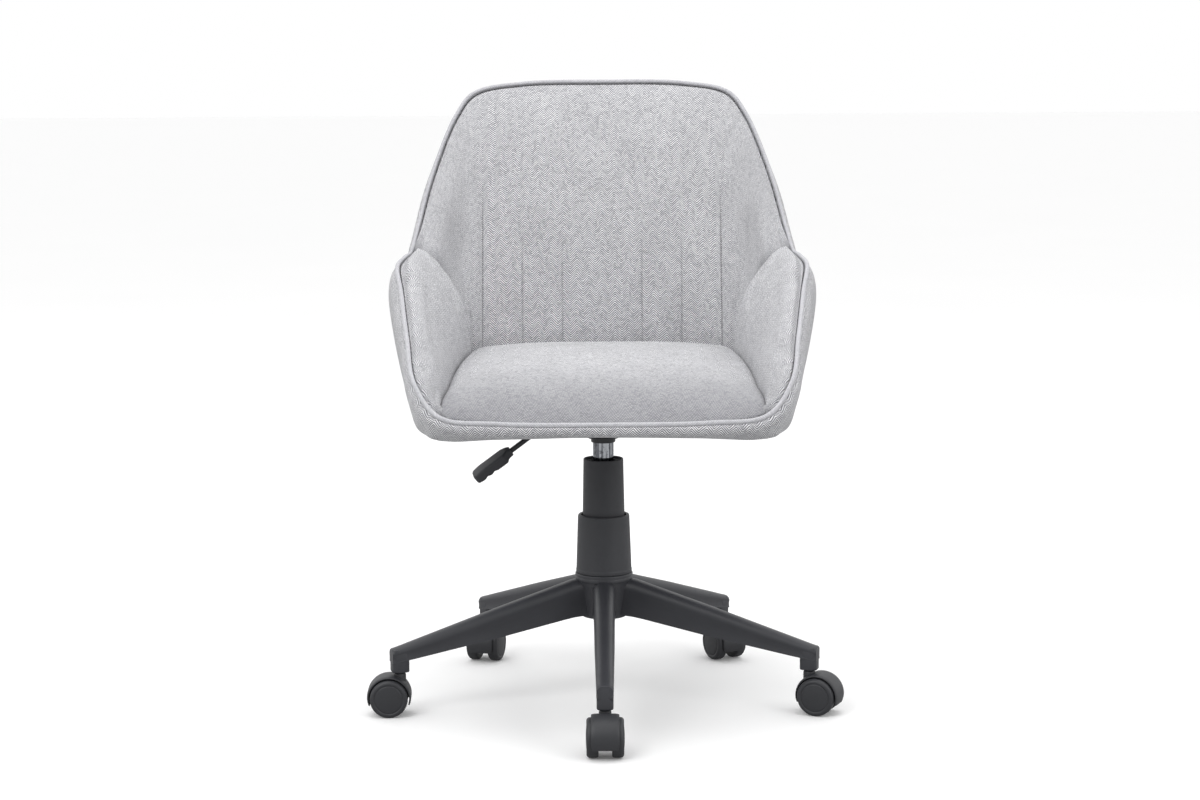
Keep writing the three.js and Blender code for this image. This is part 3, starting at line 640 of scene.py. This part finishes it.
def slab(name, place, height, swell, thin, held, seam):
    """A pad: the sitter's side is the sheet through the inside loops pushed out by swell, its back lies on the
    shell, and thin, from 0 to 1 for each column, closes the two on each other at the ends."""
    front = sheet_through(INSIDE, place, height)
    middle = np.array([0, -0.05, 0.62])
    n = normals(front)
    n *= np.sign(((middle - front) * n).sum(-1, keepdims=True))
    front = front + n * swell[..., None]
    back_rows = np.linspace(0, 1, 22)[:, None]
    back_place = np.stack([np.interp(back_rows[:, 0], height[:, 0], column) for column in place.T], 1)
    lift = np.interp(back_rows, np.linspace(0, 1, 5), PAD_HEIGHTS)
    back_height = np.broadcast_to(lift, back_place.shape) * top_height(back_place)
    back = wall_point(back_place, back_height, (WALL + 0.9) * MM)
    same = np.stack([[np.interp(height[:, 0], back_rows[:, 0], back[:, k, i]) for i in range(3)]
                     for k in range(back.shape[1])]).transpose(2, 0, 1)
    front = same + (front - same) * thin[None, :, None]
    points = np.concatenate([front, back[::-1]])
    run = np.concatenate([lengths(front, 0), lengths(back, 0)[::-1]])
    side = lengths(front, 1)
    side = side - side[:, side.shape[1] // 2, None]
    side = np.concatenate([side, np.broadcast_to(side[-1:], (len(back), side.shape[1]))])
    uv = np.stack([side, run], -1)
    uv = np.concatenate([uv, uv[:1]])
    blank = np.zeros((len(back), place.shape[1]))
    fields = {"held": np.concatenate([held, blank + 1])}
    for key, values in seam.items():
        fields[key] = np.concatenate([values, blank])
    return surface(name, points, around=False, along=True, uv=uv, fields=fields)


def make_back_pad():
    """Columns stand upright at even distances from the middle up to the outer sewn line, and fan out from there
    to the arms. The three sewn lines on each side are held down, so the cloth swells between them."""
    half, lined = 84, 42
    height = rows_between(BACK_ROWS)
    c = np.arange(-half, half + 1) / half
    fine = np.linspace(8.9, 19.1, 400)
    columns = []
    for h in height:
        x = sheet_through(INSIDE, fine, h)[:, 0]
        target = np.clip(c * half / lined, -1, 1) * 168 * MM
        place = np.interp(-target, -x, fine)
        spare = np.clip((np.abs(c) * half - lined) / (half - lined), 0, 1)
        end = np.where(c > 0, 7.75, 2 * PLACES - 7.75)
        columns.append(place + (end - place) * spare)
    place = np.array(columns)
    height = np.broadcast_to(height[:, None], place.shape)
    at = sheet_through(INSIDE, place, height) / MM
    x, z = np.abs(at[..., 0]), at[..., 2]
    off, show = np.full(x.shape, 99.0), np.zeros(x.shape)
    column = np.abs(np.arange(-half, half + 1))
    for k, (line, top) in enumerate(TUFT_LINES):
        near = np.abs(column - 14 * (k + 1)) <= 7
        off[:, near] = ((column - 14 * (k + 1)) * 4.0)[near]
        fade = 1 - smooth(z, top - 45, top + 25)
        show[:, near] = fade[:, near]
    swell = (1.5 + 2.4 * show * (1 - np.exp(-(off / 11) ** 2)) - 1.0 * show) * MM
    near_arm = np.clip((np.abs(c) * half - lined) / (half - lined), 0, 1)
    swell = swell - 15 * MM * near_arm**1.2 * (1 - smooth(z, 585, 680))
    swell *= 1 - smooth(height, 0.8, 1.0)
    spread = at[..., 0] / (0.62 + 0.5 * smooth(z, 560, 800))
    folds = np.sin(spread / 6.3 + 0.6) + 0.7 * np.sin(spread / 4.1 + 2 + 0.004 * z)
    folds += 0.5 * np.sin(spread / 11 - 1)
    fan = folds * 0.32 * smooth(z, 540, 640) * (1 - smooth(z, 760, 822))
    swell = swell + fan * MM * (x < 175)
    held = np.clip((np.abs(off) < 2) * show * 1.2, 0, 1)
    held = np.maximum(held, smooth(np.broadcast_to(near_arm, held.shape), 0.3, 0.8) * (z < 620))
    held = np.maximum(held, np.maximum(smooth(height, 0.86, 0.97), 1 - smooth(height, 0.0, 0.03)))
    thin = np.clip(1 - np.clip((np.abs(c) - 0.985) / 0.015, 0, 1) ** 2, 0, 1) ** 0.5
    faint = np.where(np.abs(np.abs(c) * half - lined) < 8, 0.8, 0.5)
    # Painted shade: "deep" darkens the back pad beside each arm's rear edge, where the arm shades it, and along
    # its foot at the crease with the seat.
    painted_shade_beside_arm = smooth(8.85 - np.minimum(place, 2 * PLACES - place), 0, 0.75) * (1 - smooth(z, 590, 625))
    deep = np.maximum(0.85 * painted_shade_beside_arm, 0.2 * (1 - smooth(z, 462, 490)))
    seam = {"seam_off": np.abs(off), "seam_along": z, "seam_show": show * faint, "deep": deep}
    return slab("back_pad_cloth", place, height, swell, thin, held, seam)


def make_arm_pad(side):
    """The arm's inner pad, from the front corner to the crease with the back, full in the middle and rolled in
    at its rear edge."""
    start, end = 2.15, 8.05
    t = np.linspace(0, 1, 118)
    place = start + (end - start) * (t - 0.12 * np.sin(2 * np.pi * t))
    middle = sheet_through(INSIDE, place, 0.4)
    run = lengths(middle, 0) / MM
    rolled = lambda d, r: np.sqrt(np.clip(1 - np.clip(1 - d / r, 0, 1) ** 2, 0, 1))
    thin = rolled(run, 12) * rolled(run[-1] - run, 9)
    height = rows_between(ARM_ROWS)[:, None]
    place, height = np.broadcast_arrays(place, height)
    along = (place - start) / (end - start)
    full = np.sin(np.pi * np.clip(along / 1.35, 0, 1)) ** 0.6
    swell = 11 * np.sin(np.pi * np.clip(height / 0.94, 0, 1) ** 1.3) ** 0.7 * full
    swell += 0.35 * np.sin(9 * along + 5 * height) * smooth(height, 0.1, 0.4)
    swell += 0.5 * np.sin(30 * along + 4 * height) * np.exp(-(along / 0.16) ** 2)
    swell = swell * MM * (1 - smooth(height, 0.88, 1.0))
    held = np.maximum(smooth(height, 0.86, 0.97), 1 - smooth(height, 0.0, 0.05))
    held = np.maximum(held, np.maximum(1 - smooth(along, 0, 0.05), smooth(along, 0.97, 1.0)))
    place = place if side > 0 else 2 * PLACES - place
    name = "arm_pad_cloth_left" if side < 0 else "arm_pad_cloth_right"
    # Painted shade: "deep" darkens the pad's low part at the crease with the seat and the roll at its rear edge,
    # where shade falls.
    low = sheet_through(INSIDE, place, height)[..., 2] / MM
    deep = np.maximum(0.3 * (1 - smooth(low, 425, 485)), 0.45 * smooth(run[-1] - run, 9, 0) * np.ones_like(low))
    return slab(name, place, height, swell, thin, held, {"deep": deep})


SEAT_EDGE = [
    (0, -258.5, 411), (130, -256.5, 412), (198, -246, 418.5), (205, -215, 427), (202, -145, 433),
    (198, -70, 444), (193, -10, 451), (188, 45, 454), (179, 98, 457), (168, 124, 458), (144, 143, 460),
    (115, 152, 461), (87, 156, 462), (47, 158, 462), (0, 158, 462)]


def make_seat_cushion():
    """A crowned top over the loop where the cushion meets the arms, back and front welt: height falls from the
    crown as a power of the share of the way out, and the last tenth rolls over into the crease."""
    place = np.arange(0, 2 * PLACES + 0.01, 0.2)
    edge = spline(whole(SEAT_EDGE), place, True)
    from_front = np.minimum(place, 2 * PLACES - place)
    centre = np.array([0, -0.045])
    crown, foot = 0.477, (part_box("seat_board")[1].z + 0.6 * MM)
    out = np.linspace(1, 0, 40)[:, None] ** 1.05
    shoulder = np.interp(from_front, (0, 1.5, 2.6, 4, 8, 10, 14), (3.5, 4, 6, 12, 11, 7, 5)) * MM
    power = np.interp(from_front, (0, 2, 4, 8, 11, 14), (2.15, 2.2, 2.45, 2.5, 2.2, 2.1))
    t = np.clip((out - 0.9) / 0.1, 0, 1)
    rise = edge[:, 2] + shoulder
    z = rise + (crown - rise) * (1 - out**power) - shoulder * (1 - np.sqrt(1 - t**2))
    xy = centre + (edge[:, :2] - centre) * out[..., None]
    top = np.concatenate([xy, z[..., None]], -1)
    ripple = np.exp(-((from_front - 2.6) / 0.9) ** 2) * np.exp(-((out - 0.9) / 0.09) ** 2)
    top[..., 2] += ripple * np.sin(from_front * 11) * 0.9 * MM
    down = np.linspace(0, 1, 10)[:, None, None]
    low = np.concatenate([centre + (edge[:, :2] - centre) * 0.955, np.full((len(place), 1), foot)], -1)
    side = low * (1 - down) + edge * down
    side[..., :2] -= (side[..., :2] - centre) * (0.012 * np.sin(np.pi * down))
    under = np.stack([np.concatenate([centre + (low[:, :2] - centre) * size, low[:, 2:]], -1)
                      for size in (0, 0.35, 0.7)])
    points = np.concatenate([under, side[:-1], top])
    held = np.concatenate([np.ones(len(under) + len(side) - 1), 1 - smooth(1 - out[:, 0], 0.02, 0.1)])
    uv = np.stack([points[..., 0], points[..., 1] + 0.75 * np.minimum(points[..., 2] - crown, 0)
                   * smooth(-points[..., 1], 0.05, 0.2)], -1)
    # Painted shade: "deep" darkens the cushion's front face, which gets less light, and its edge where it rolls
    # down into the crease.
    front = smooth(-points[..., 1], 0.11, 0.255) * smooth(points[..., 2], 0.405, 0.415)
    painted_shade_in_crease = smooth(0.93 * edge[:, 2] + 0.07 * crown + 4 * MM - points[..., 2], -0.012, 0.004)
    deep = 0.7 * front + 0.3 * painted_shade_in_crease * (1 - front)
    fields = {"held": held[:, None], "deep": deep[:, :-1]}
    return surface("seat_cushion_cloth", points[:, :-1], uv=uv, fields=fields)


def make_tub():
    """The outer cover: a wall of even thickness through the outside loops, its underside dished for the plate.
    A sewn line runs down each side behind the arm, and the cloth puckers a little at the front corners."""
    place = np.arange(0, 2 * PLACES + 0.01, 0.1)
    share = np.linspace(0, 1, 46)[:, None]
    height = share * top_height(place)
    near = np.minimum(place, 2 * PLACES - place)
    pucker = np.exp(-((near - 2.9) / 1.2) ** 2) * np.exp(-((share - 0.3) / 0.26) ** 2)
    relief = 1.6 * np.sin(np.pi * share) ** 0.7 + pucker * np.sin(7 * near + 13 * share) * 0.8
    relief += 0.4 * np.sin(2.1 * place + 5 * share) * np.sin(3 * share + 0.9 * near)
    behind_arm = near - 8.7 + 0.5 * (1 - share)
    relief -= 1.3 * np.exp(-(behind_arm / 0.18) ** 2)
    relief *= 1 - smooth(share, 0.9, 1.0)
    outer = wall_point(place, height, -relief[..., None] * MM)
    inner = wall_point(place, np.linspace(1, 0, 18)[:, None] * top_height(place), WALL * MM)
    ring = outside(place, 0.0)
    dish = lambda size, z: np.stack([ring[:, 0] * size, ring[:, 1] * size - 6 * MM, 0 * place + z], -1)
    under, over = 0.387, 0.397
    towards = lambda share_up: under + share_up * (ring[:, 2] - under)
    low = np.stack([dish(0, under), dish(0.4, under), dish(0.78, under), dish(0.84, towards(0.2)),
                    dish(0.93, towards(0.65))])
    high = np.stack([dish(0.78, over), dish(0.4, over), dish(0, over)])
    points = np.concatenate([low, outer, inner, high])
    skip = len(low)
    u = np.broadcast_to(lengths(outer[24:25], 1), points.shape[:2])
    v = lengths(points, 0) - lengths(points, 0)[skip:skip + 1]
    blank = lambda rows: np.zeros((rows, len(place)))
    pad = lambda a: np.concatenate([blank(skip), np.broadcast_to(a, outer.shape[:2]),
                                    blank(len(inner) + len(high))])[:, :-1]
    fields = {"seam_off": pad(behind_arm * 38), "seam_along": (v * 1000)[:, :-1],
              "seam_show": pad(smooth(4 - np.abs(behind_arm * 38), 0, 3))}
    return surface("tub_cover", points[:, :-1], uv=np.stack([u, v], -1), fields=fields)


def make_welt():
    """Piping: a round section carried along the rim, its cord very slightly uneven, with the sewn line of its
    flange on the side of the pads."""
    t = np.linspace(0, 2 * PLACES, 641)
    centre = spline(RIM_LOOP, t, True)
    along = np.gradient(centre, axis=0)
    along[0] = along[-1] = centre[1] - centre[-2]
    along = unit(along)
    out = unit(np.cross(centre * (1, 1, 0), along))
    up = np.cross(along, out)
    angle = np.linspace(0, 2 * np.pi, 17)
    uneven = 1 + 0.025 * np.sin(t * 23 * 2 * np.pi / 28) * np.sin(t * 9 * 2 * np.pi / 28)
    around = out[:, None] * np.cos(angle)[:, None] + up[:, None] * np.sin(angle)[:, None]
    points = centre[:, None] + PIPING_R * MM * uneven[:, None, None] * around
    inward = spline(INNER_RIM_LOOP, t, True) - centre
    facing = np.arctan2((inward * up).sum(1), (inward * out).sum(1))
    turn = (angle[None, :] - facing[:, None] + np.pi) % (2 * np.pi) - np.pi
    run = lengths(centre[:, None], 0)
    uv = np.stack([np.broadcast_to(run, turn.shape), np.broadcast_to(angle * PIPING_R * MM, turn.shape)], -1)
    fields = {"seam_off": (turn * PIPING_R)[:-1, :-1], "seam_along": (run / MM)[:-1],
              "seam_show": np.where(np.abs(turn) < 1.2, 0.4, 0.0)[:-1, :-1]}
    return surface("welt_piping", points[:-1, :-1], along=True, uv=uv, fields=fields)


finish_piece(make_tub(), GREY_CLOTH, "seat", "fabric", "tub_shell")
finish_piece(make_welt(), PIPING_CLOTH, "seat", "fabric", "welt")
for pad, cap, node in ((make_back_pad(), 3.5, "back_pad"), (make_arm_pad(1), 4, "arm_pad_right"),
                       (make_arm_pad(-1), 4, "arm_pad_left"), (make_seat_cushion(), 4, "seat_cushion")):
    finish_piece(stuffed(pad, cap * MM), GREY_CLOTH, "seat", "fabric", node)


# ---- Castors ------------------------------------------------------------------------------------------------

TRAIL, AXLE_Z = 14.5, 25.0
CASTORS = {  # degrees round the base, and the way each castor points
    "front": (0, 90), "right": (72, 157), "rear_right": (144, 118), "rear_left": (216, 75), "left": (288, 2)}
STEM_CIRCLE = 284.5


def make_wheel(name, side):
    """A castor wheel: rounded tread, raised rim, shallow dished disc with a domed middle, and blind bore."""
    line = [(0, 24.2), (6, 24.1), (12, 23.7), (17.5, 23.2), (18.2, 22.6), (19, 22.6), (19.8, 23.4),
            (21.6, 23.4), (23.6, 22.4), (24.8, 20.6), (25, 18.5), (25, 11), (24.4, 9.2), (23.2, 8.4), (17, 8.4),
            (16, 9.6), (7.4, 9.6), (6.8, 8.4), (3.4, 8.4), (3.4, 20.6), (0, 20.6)]
    return move(turned(name, line, sides=80, radius=0.9), tilt=[[1, 0, 0], [0, 0, side], [0, -side, 0]])


def plate_xz(name, outline, half, bevel=0.8):
    """A plate in the XZ plane: its outline is carried along Y, drawn in a little at both faces, and closed at
    the middle of each face."""
    p = np.array(outline, float)
    centre = p.mean(0)
    drawn = p - unit(p - centre) * bevel
    rows = [(p * 0 + centre, -half), (drawn, -half), (p, -half + bevel), (p, half - bevel), (drawn, half),
            (p * 0 + centre, half)]
    points = np.stack([np.stack([q[:, 0], np.full(len(p), y), q[:, 1]], -1) for q, y in rows]) * MM
    return surface(name, points, sharp=35)


def make_hood(name):
    """A hood over both wheels: a rounded strip bent round the axle that narrows towards its two ends, a web
    between the wheels, and a boss round the stem."""
    turn = np.linspace(math.radians(-19), math.radians(200), 72)
    section = circle(32)
    near_ends = lambda reach: sum(np.exp(-((turn - end) / reach) ** 2) for end in (turn[0], turn[-1]))
    width = 17.6 - 1.6 * near_ends(0.16)
    thick = 1.15 - 0.45 * near_ends(0.5)
    crown = 0.9 * (1 - (np.cos(section)) ** 2)
    y = width[:, None] * squared(np.cos(section), 0.35)
    r = 27.4 + thick[:, None] * squared(np.sin(section), 0.35) + crown * (np.sin(section) > 0)
    strip = np.stack([r * np.cos(turn)[:, None], y, r * np.sin(turn)[:, None]], -1)
    guard = surface("guard", capped(strip) * MM, sharp=50)
    arc = np.linspace(0, np.pi, 40)
    outline = np.concatenate([np.stack([27.2 * np.cos(arc), 27.2 * np.sin(arc)], -1),
                              [(-22, -2), (-12, -7.5), (0, -9.5), (12, -7.5), (22, -2)]])
    web = plate_xz("web", outline, 7.6)
    boss = turned("boss", [(0, 10), (7.9, 10), (7.9, 29), (7.2, 31), (6.2, 31), (6.2, 28), (0, 28)])
    return joined(name, [guard, web, move(boss, to=(TRAIL * MM, 0, 0))])


def make_stem(name):
    return turned(name, [(0, 42), (5.5, 42), (5.5, 54), (5.5, 70), (4.7, 70), (4.7, 73), (5.5, 73),
                         (5.5, 82.5), (4, 84), (0, 84)], sides=48, radius=0.5)


def make_castor(name, arm, yaw):
    """One castor in its place: stem under the arm's end, axle behind it in the direction it points."""
    a, y = math.radians(arm), math.radians(yaw)
    foot = np.array([STEM_CIRCLE * math.sin(a), -STEM_CIRCLE * math.cos(a), 0]) * MM
    axle = foot + np.array([-TRAIL * math.cos(y), -TRAIL * math.sin(y), AXLE_Z]) * MM
    hood = move(make_hood(f"castor_{name}_hood"), y, axle)
    finish_piece(hood, WHEEL_BLACK, f"castor_{name}", "black_plastic", f"castor_hood_{name}")
    stem = move(make_stem(f"castor_{name}_stem"), 0, foot)
    finish_piece(stem, BLACK_PAINT, f"castor_{name}", "zinc_steel", f"castor_stem_{name}")
    for letter, side in (("a", 1), ("b", -1)):
        wheel = move(make_wheel(f"castor_{name}_wheel_{letter}", side), y, axle)
        finish_piece(wheel, WHEEL_BLACK, f"wheel_{letter}_{name}", "black_plastic",
                     f"castor_wheel_{letter}_{name}")


for castor_name, (arm_turn, trail_turn) in CASTORS.items():
    make_castor(castor_name, arm_turn, trail_turn)


# ---- Five-star base -----------------------------------------------------------------------------------------

def arm_section(top, bottom, width, recess):
    """Widths and heights round one section of an arm, going up one side, over the rounded top and down the
    other, then round the recess under it. Arrays run along the arm."""
    t = np.linspace(0, 1, 15)[:, None]
    tall = top - bottom
    side_x = width * (0.5 - 0.035 * np.sin(np.pi * t))
    cap = np.minimum(width * 0.46, tall * 0.4)
    side_z = bottom + (tall - cap) * t
    a = np.linspace(0, np.pi / 2, 12)[1:, None]
    cap_x = (width * 0.5) * np.cos(a) ** 0.8
    cap_z = top - cap + cap * np.sin(a)
    x = np.concatenate([side_x, cap_x])
    z = np.concatenate([side_z, cap_z])
    wall = 3.2
    hollow_x = np.maximum(x - wall, 0) * (recess > 0) + x * (recess <= 0)
    hollow_z = bottom + np.clip(z - bottom - wall * 1.2, 0, None) * recess * 0.86
    return (np.concatenate([x, -x[-2::-1], -hollow_x, hollow_x[-2::-1]]),
            np.concatenate([z, z[-2::-1], hollow_z, hollow_z[-2::-1]]))


def make_base_arm(turn):
    """One arm: its arched section is carried out from the hub, falling and narrowing to the end socket."""
    reach = np.concatenate([np.linspace(24, 60, 12, endpoint=False),
                            np.linspace(60, 293.5, 44, endpoint=False), [293.5, 295.2, 296]])
    top = np.interp(reach, (24, 45, 70, 150, 262, 289, 295, 296),
                    (168.5, 165, 157.5, 134, 99.5, 91, 89.4, 88.6))
    bottom = np.interp(reach, (24, 45, 60, 150, 262, 296), (118, 116, 113.5, 96, 76.5, 71))
    width = np.interp(reach, (24, 36, 50, 150, 262, 292, 296), (33, 30, 28.2, 26, 22.2, 21.6, 20.6))
    recess = smooth(reach, 50, 75) * (1 - smooth(reach, 235, 262))
    x, z = arm_section(top, bottom, width, recess)
    points = np.stack([x.T, np.broadcast_to(-reach[:, None], x.T.shape), z.T], -1) * MM
    arm = surface("arm", capped(points), sharp=38)
    level = np.array([58.2, 58.2, 58.8, 60, 75, 86, 88.5])
    size = np.array([0, 0.94, 0.98, 1, 1, 1, 0.9])
    a = circle(48)
    ring = np.stack([10.6 * squared(np.cos(a), 0.42), 11.6 * squared(np.sin(a), 0.42)], -1)
    block = np.stack([np.stack([ring[:, 0] * s, ring[:, 1] * s - STEM_CIRCLE, np.full(48, h)], -1)
                      for s, h in zip([*size, 0], [*level, 88.5])]) * MM
    socket = surface("socket", block, sharp=38)
    return [move(arm, turn), move(socket, turn)]


def make_star_base():
    hub = turned("hub", [(24.9, 113), (30.5, 113), (32, 119), (33.4, 132), (36, 150), (38.3, 163), (38.9, 167),
                         (38.9, 171.8), (38.3, 173), (25.3, 173)], sides=120, radius=1.6, closed=True)
    lip = turned("lip", [(36.5, 161), (39.3, 163.6), (39.6, 166), (39.2, 168.6), (36.5, 170)], sides=120,
                 closed=True)
    arms = [part for k in range(5) for part in make_base_arm(2 * math.pi / 5 * k)]
    return joined("star_base_body", [hub, lip, *arms])


finish_piece(make_star_base(), SATIN_BLACK, "base", "black_paint", "star_base")


# ---- Gas lift, covers and seat plate ------------------------------------------------------------------------

def add_ring(name, profile, look, body, slot, node, **options):
    """A turned piece with a bore: its corner line closes on itself."""
    finish_piece(turned(name, profile, closed=True, **options), look, body, slot, node)


add_ring("outer_tube", [(23.7, 115), (24.9, 173), (24.9, 322.9), (23.4, 322.9), (23.4, 173), (22.2, 118),
                        (6.2, 118), (6.2, 115)], BLACK_PAINT, "base", "black_paint", "gas_lift_outer_tube")
add_ring("pressure_tube", [(5.7, 155), (14, 155), (14, 350), (12.8, 366), (3.4, 366), (3.4, 352), (12, 352),
                           (12, 163), (5.7, 163)], BRIGHT_STEEL, "seat", "bright_steel",
         "gas_lift_pressure_tube", radius=0.5, sides=96)
add_ring("upper_cover", [(28.6, 236), (28.5, 238), (26.8, 326.9), (26.2, 328), (25.3, 328), (24.9, 325.4),
                         (16.2, 325.2), (16.2, 323.4), (25, 323.4), (27, 236)], COVER_BLACK, "column_cover",
         "black_plastic", "column_cover_upper", radius=0.6, sides=96)
add_ring("lower_cover", [(37.6, 173.4), (37.7, 177.5), (37.2, 179), (34.7, 250), (33.9, 252), (31, 252),
                         (30.4, 251.4), (30.4, 249.9), (32.4, 248.4), (35.6, 173.4)], COVER_BLACK, "base",
         "black_plastic", "column_cover_lower", radius=0.6, sides=96)
add_ring("socket_ring", [(14.4, 350), (15.6, 350), (16.4, 351), (16.4, 355.5), (20.3, 355.5), (20.6, 356.2),
                         (20.6, 357.4), (20.2, 358), (16.3, 358), (16.3, 364), (13.4, 364)], BLACK_PAINT,
         "seat", "black_paint", "taper_socket", radius=0.4, sides=96)

LEVER_PATH = [(4, 374), (-58, 374), (-70, 373), (-80, 370), (-90, 363.6), (-131, 333.3)]
GRIP_FROM, GRIP_TO = np.array([-124, 338.5]), np.array([-171.5, 303.3])


def make_lever_rod():
    """A round rod carried along the lever's centre line, closed at both ends."""
    knots = np.array([(x, 0, z) for x, z in LEVER_PATH], float)
    centre = spline(knots, np.linspace(0, len(knots) - 1, 70), False)
    up = np.cross(unit(np.gradient(centre, axis=0)), (0, 1.0, 0))
    a = circle(24)[:, None]
    ring = lambda r: centre[:, None] + r * (np.cos(a) * np.array([0, 1.0, 0]) + np.sin(a) * up[:, None])
    points = np.concatenate([ring(0)[:1], ring(3.0)[:1], ring(3.5)[1:], ring(0)[-1:]]) * MM
    return surface("lever_bar", points, sharp=50)


def make_lever_grip():
    """A flat handle: its outline along the lever, with finger hollows under it, is carried across and drawn in
    at its edges. The neck at its inner end is narrower."""
    span = np.linalg.norm(GRIP_TO - GRIP_FROM)
    t = np.linspace(0, 1, 60)
    x = t * span
    upper = 7.0 - 1.2 * smooth(t, 0.7, 1.0) ** 2 - 1.6 * (1 - smooth(t, 0, 0.1))
    hollows = 1.9 * np.exp(-((x - 33) / 3.4) ** 2) + 1.9 * np.exp(-((x - 44.5) / 3.4) ** 2)
    lower = -7.6 + hollows + 2.6 * (1 - smooth(t, 0.12, 0.2)) + 0.6 * smooth(t, 0.85, 1.0)
    a = circle(40)[:, None]
    half = np.interp(t, (0, 0.1, 0.2, 0.9, 0.97, 1), (6, 8, 11.6, 12, 11.4, 10))
    z = np.where(np.sin(a) >= 0, upper, -lower) * squared(np.sin(a), 0.28)
    y = half * squared(np.cos(a), 0.28)
    roll = math.radians(18)
    y, z = y * math.cos(roll) - z * math.sin(roll), z * math.cos(roll) + y * math.sin(roll)
    points = np.stack([np.broadcast_to(x, z.shape), y, z], -1).transpose(1, 0, 2)
    tip = points[-1] * (1, 0.86, 0.8) + (1.6, 0, 0)
    grip = surface("lever_handle", capped(np.concatenate([points, tip[None]]), 0.6) * MM, sharp=40)
    drop = math.atan2(*(GRIP_TO - GRIP_FROM)[::-1])
    c, s = math.cos(drop), math.sin(drop)
    return move(grip, 0, (GRIP_FROM[0] * MM, 0, GRIP_FROM[1] * MM), [[c, 0, s], [0, 1, 0], [s, 0, -c]])


finish_piece(make_lever_rod(), BLACK_PAINT, "lever", "black_paint", "lever_rod")
finish_piece(make_lever_grip(), COVER_BLACK, "lever", "black_plastic", "lever_grip")

KEPT = {
    "seat_plate": BLACK_PAINT, "lever_bush": COVER_BLACK, "dust_cover": DUST_CLOTH, "seat_board": PLYWOOD,
    "gas_lift_guide_sleeve": WHITE_PLASTIC, "bearing_ball_cage": WHITE_PLASTIC, "gas_lift_bumper": BLACK_RUBBER,
    **{node: ZINC for node in ("gas_lift_piston_rod", "gas_lift_valve_pin", "gas_lift_retaining_clip",
                               "bearing_lower_race", "bearing_upper_race")},
    **{f"seat_bolt_{k}": ZINC for k in range(1, 5)},
    **{f"castor_{part}_{name}": ZINC for part in ("axle", "grip_ring") for name in CASTORS}}
for node, look in KEPT.items():
    for place_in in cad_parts[node].material_slots:
        place_in.material = look


# ---- Floor, light and camera --------------------------------------------------------------------------------

corners = np.array([[(-40, -40, 0), (40, -40, 0)], [(-40, 60, 0), (40, 60, 0)]], float)
floor = surface("floor", corners, around=False)
if floor.data.polygons[0].normal.z < 0:
    floor.data.flip_normals()
floor.data.materials.append(make_floor())


def add_light(name, place, aim, size, power):
    lamp = bpy.data.lights.new(name, "AREA")
    lamp.shape, lamp.size, lamp.energy = "SQUARE", size, power
    holder = placed(name, lamp)
    holder.location = place
    direction = np.array(aim) - np.array(place)
    flat = math.hypot(direction[0], direction[1])
    holder.rotation_euler = (math.atan2(flat, -direction[2]), 0, math.atan2(-direction[0], direction[1]))


add_light("key softbox", (-1.9, -2.6, 2.9), (0, 0, 0.5), 2.0, 46)
add_light("fill softbox", (2.4, -2.2, 1.8), (0, 0, 0.5), 1.6, 20)
add_light("top softbox", (0, 0.2, 3.2), (0, 0.0, 0.5), 2.4, 28)

world = bpy.data.worlds.new("studio")
world.use_nodes = True
sky = Net(world.node_tree)
toward = sky.node("ShaderNodeSeparateXYZ", {0: sky.node("ShaderNodeTexCoord").outputs["Generated"]}).outputs[1]
sky.feed(world.node_tree.nodes["Background"].inputs["Strength"], sky.spread(toward, -0.95, -0.45, 0.4, 1.0))
world.node_tree.nodes["Background"].inputs["Color"].default_value = (1, 1, 1, 1)
bpy.context.scene.world = world
bpy.context.scene.view_settings.view_transform = "Standard"

camera = placed("camera", bpy.data.cameras.new("camera"))
camera.location = (-0.004, -3.2, 0.8276)
camera.rotation_euler = (math.radians(82.506), math.radians(0.347), math.radians(-0.046))
camera.data.lens, camera.data.sensor_width = 72.285, 36
bpy.context.scene.camera = camera
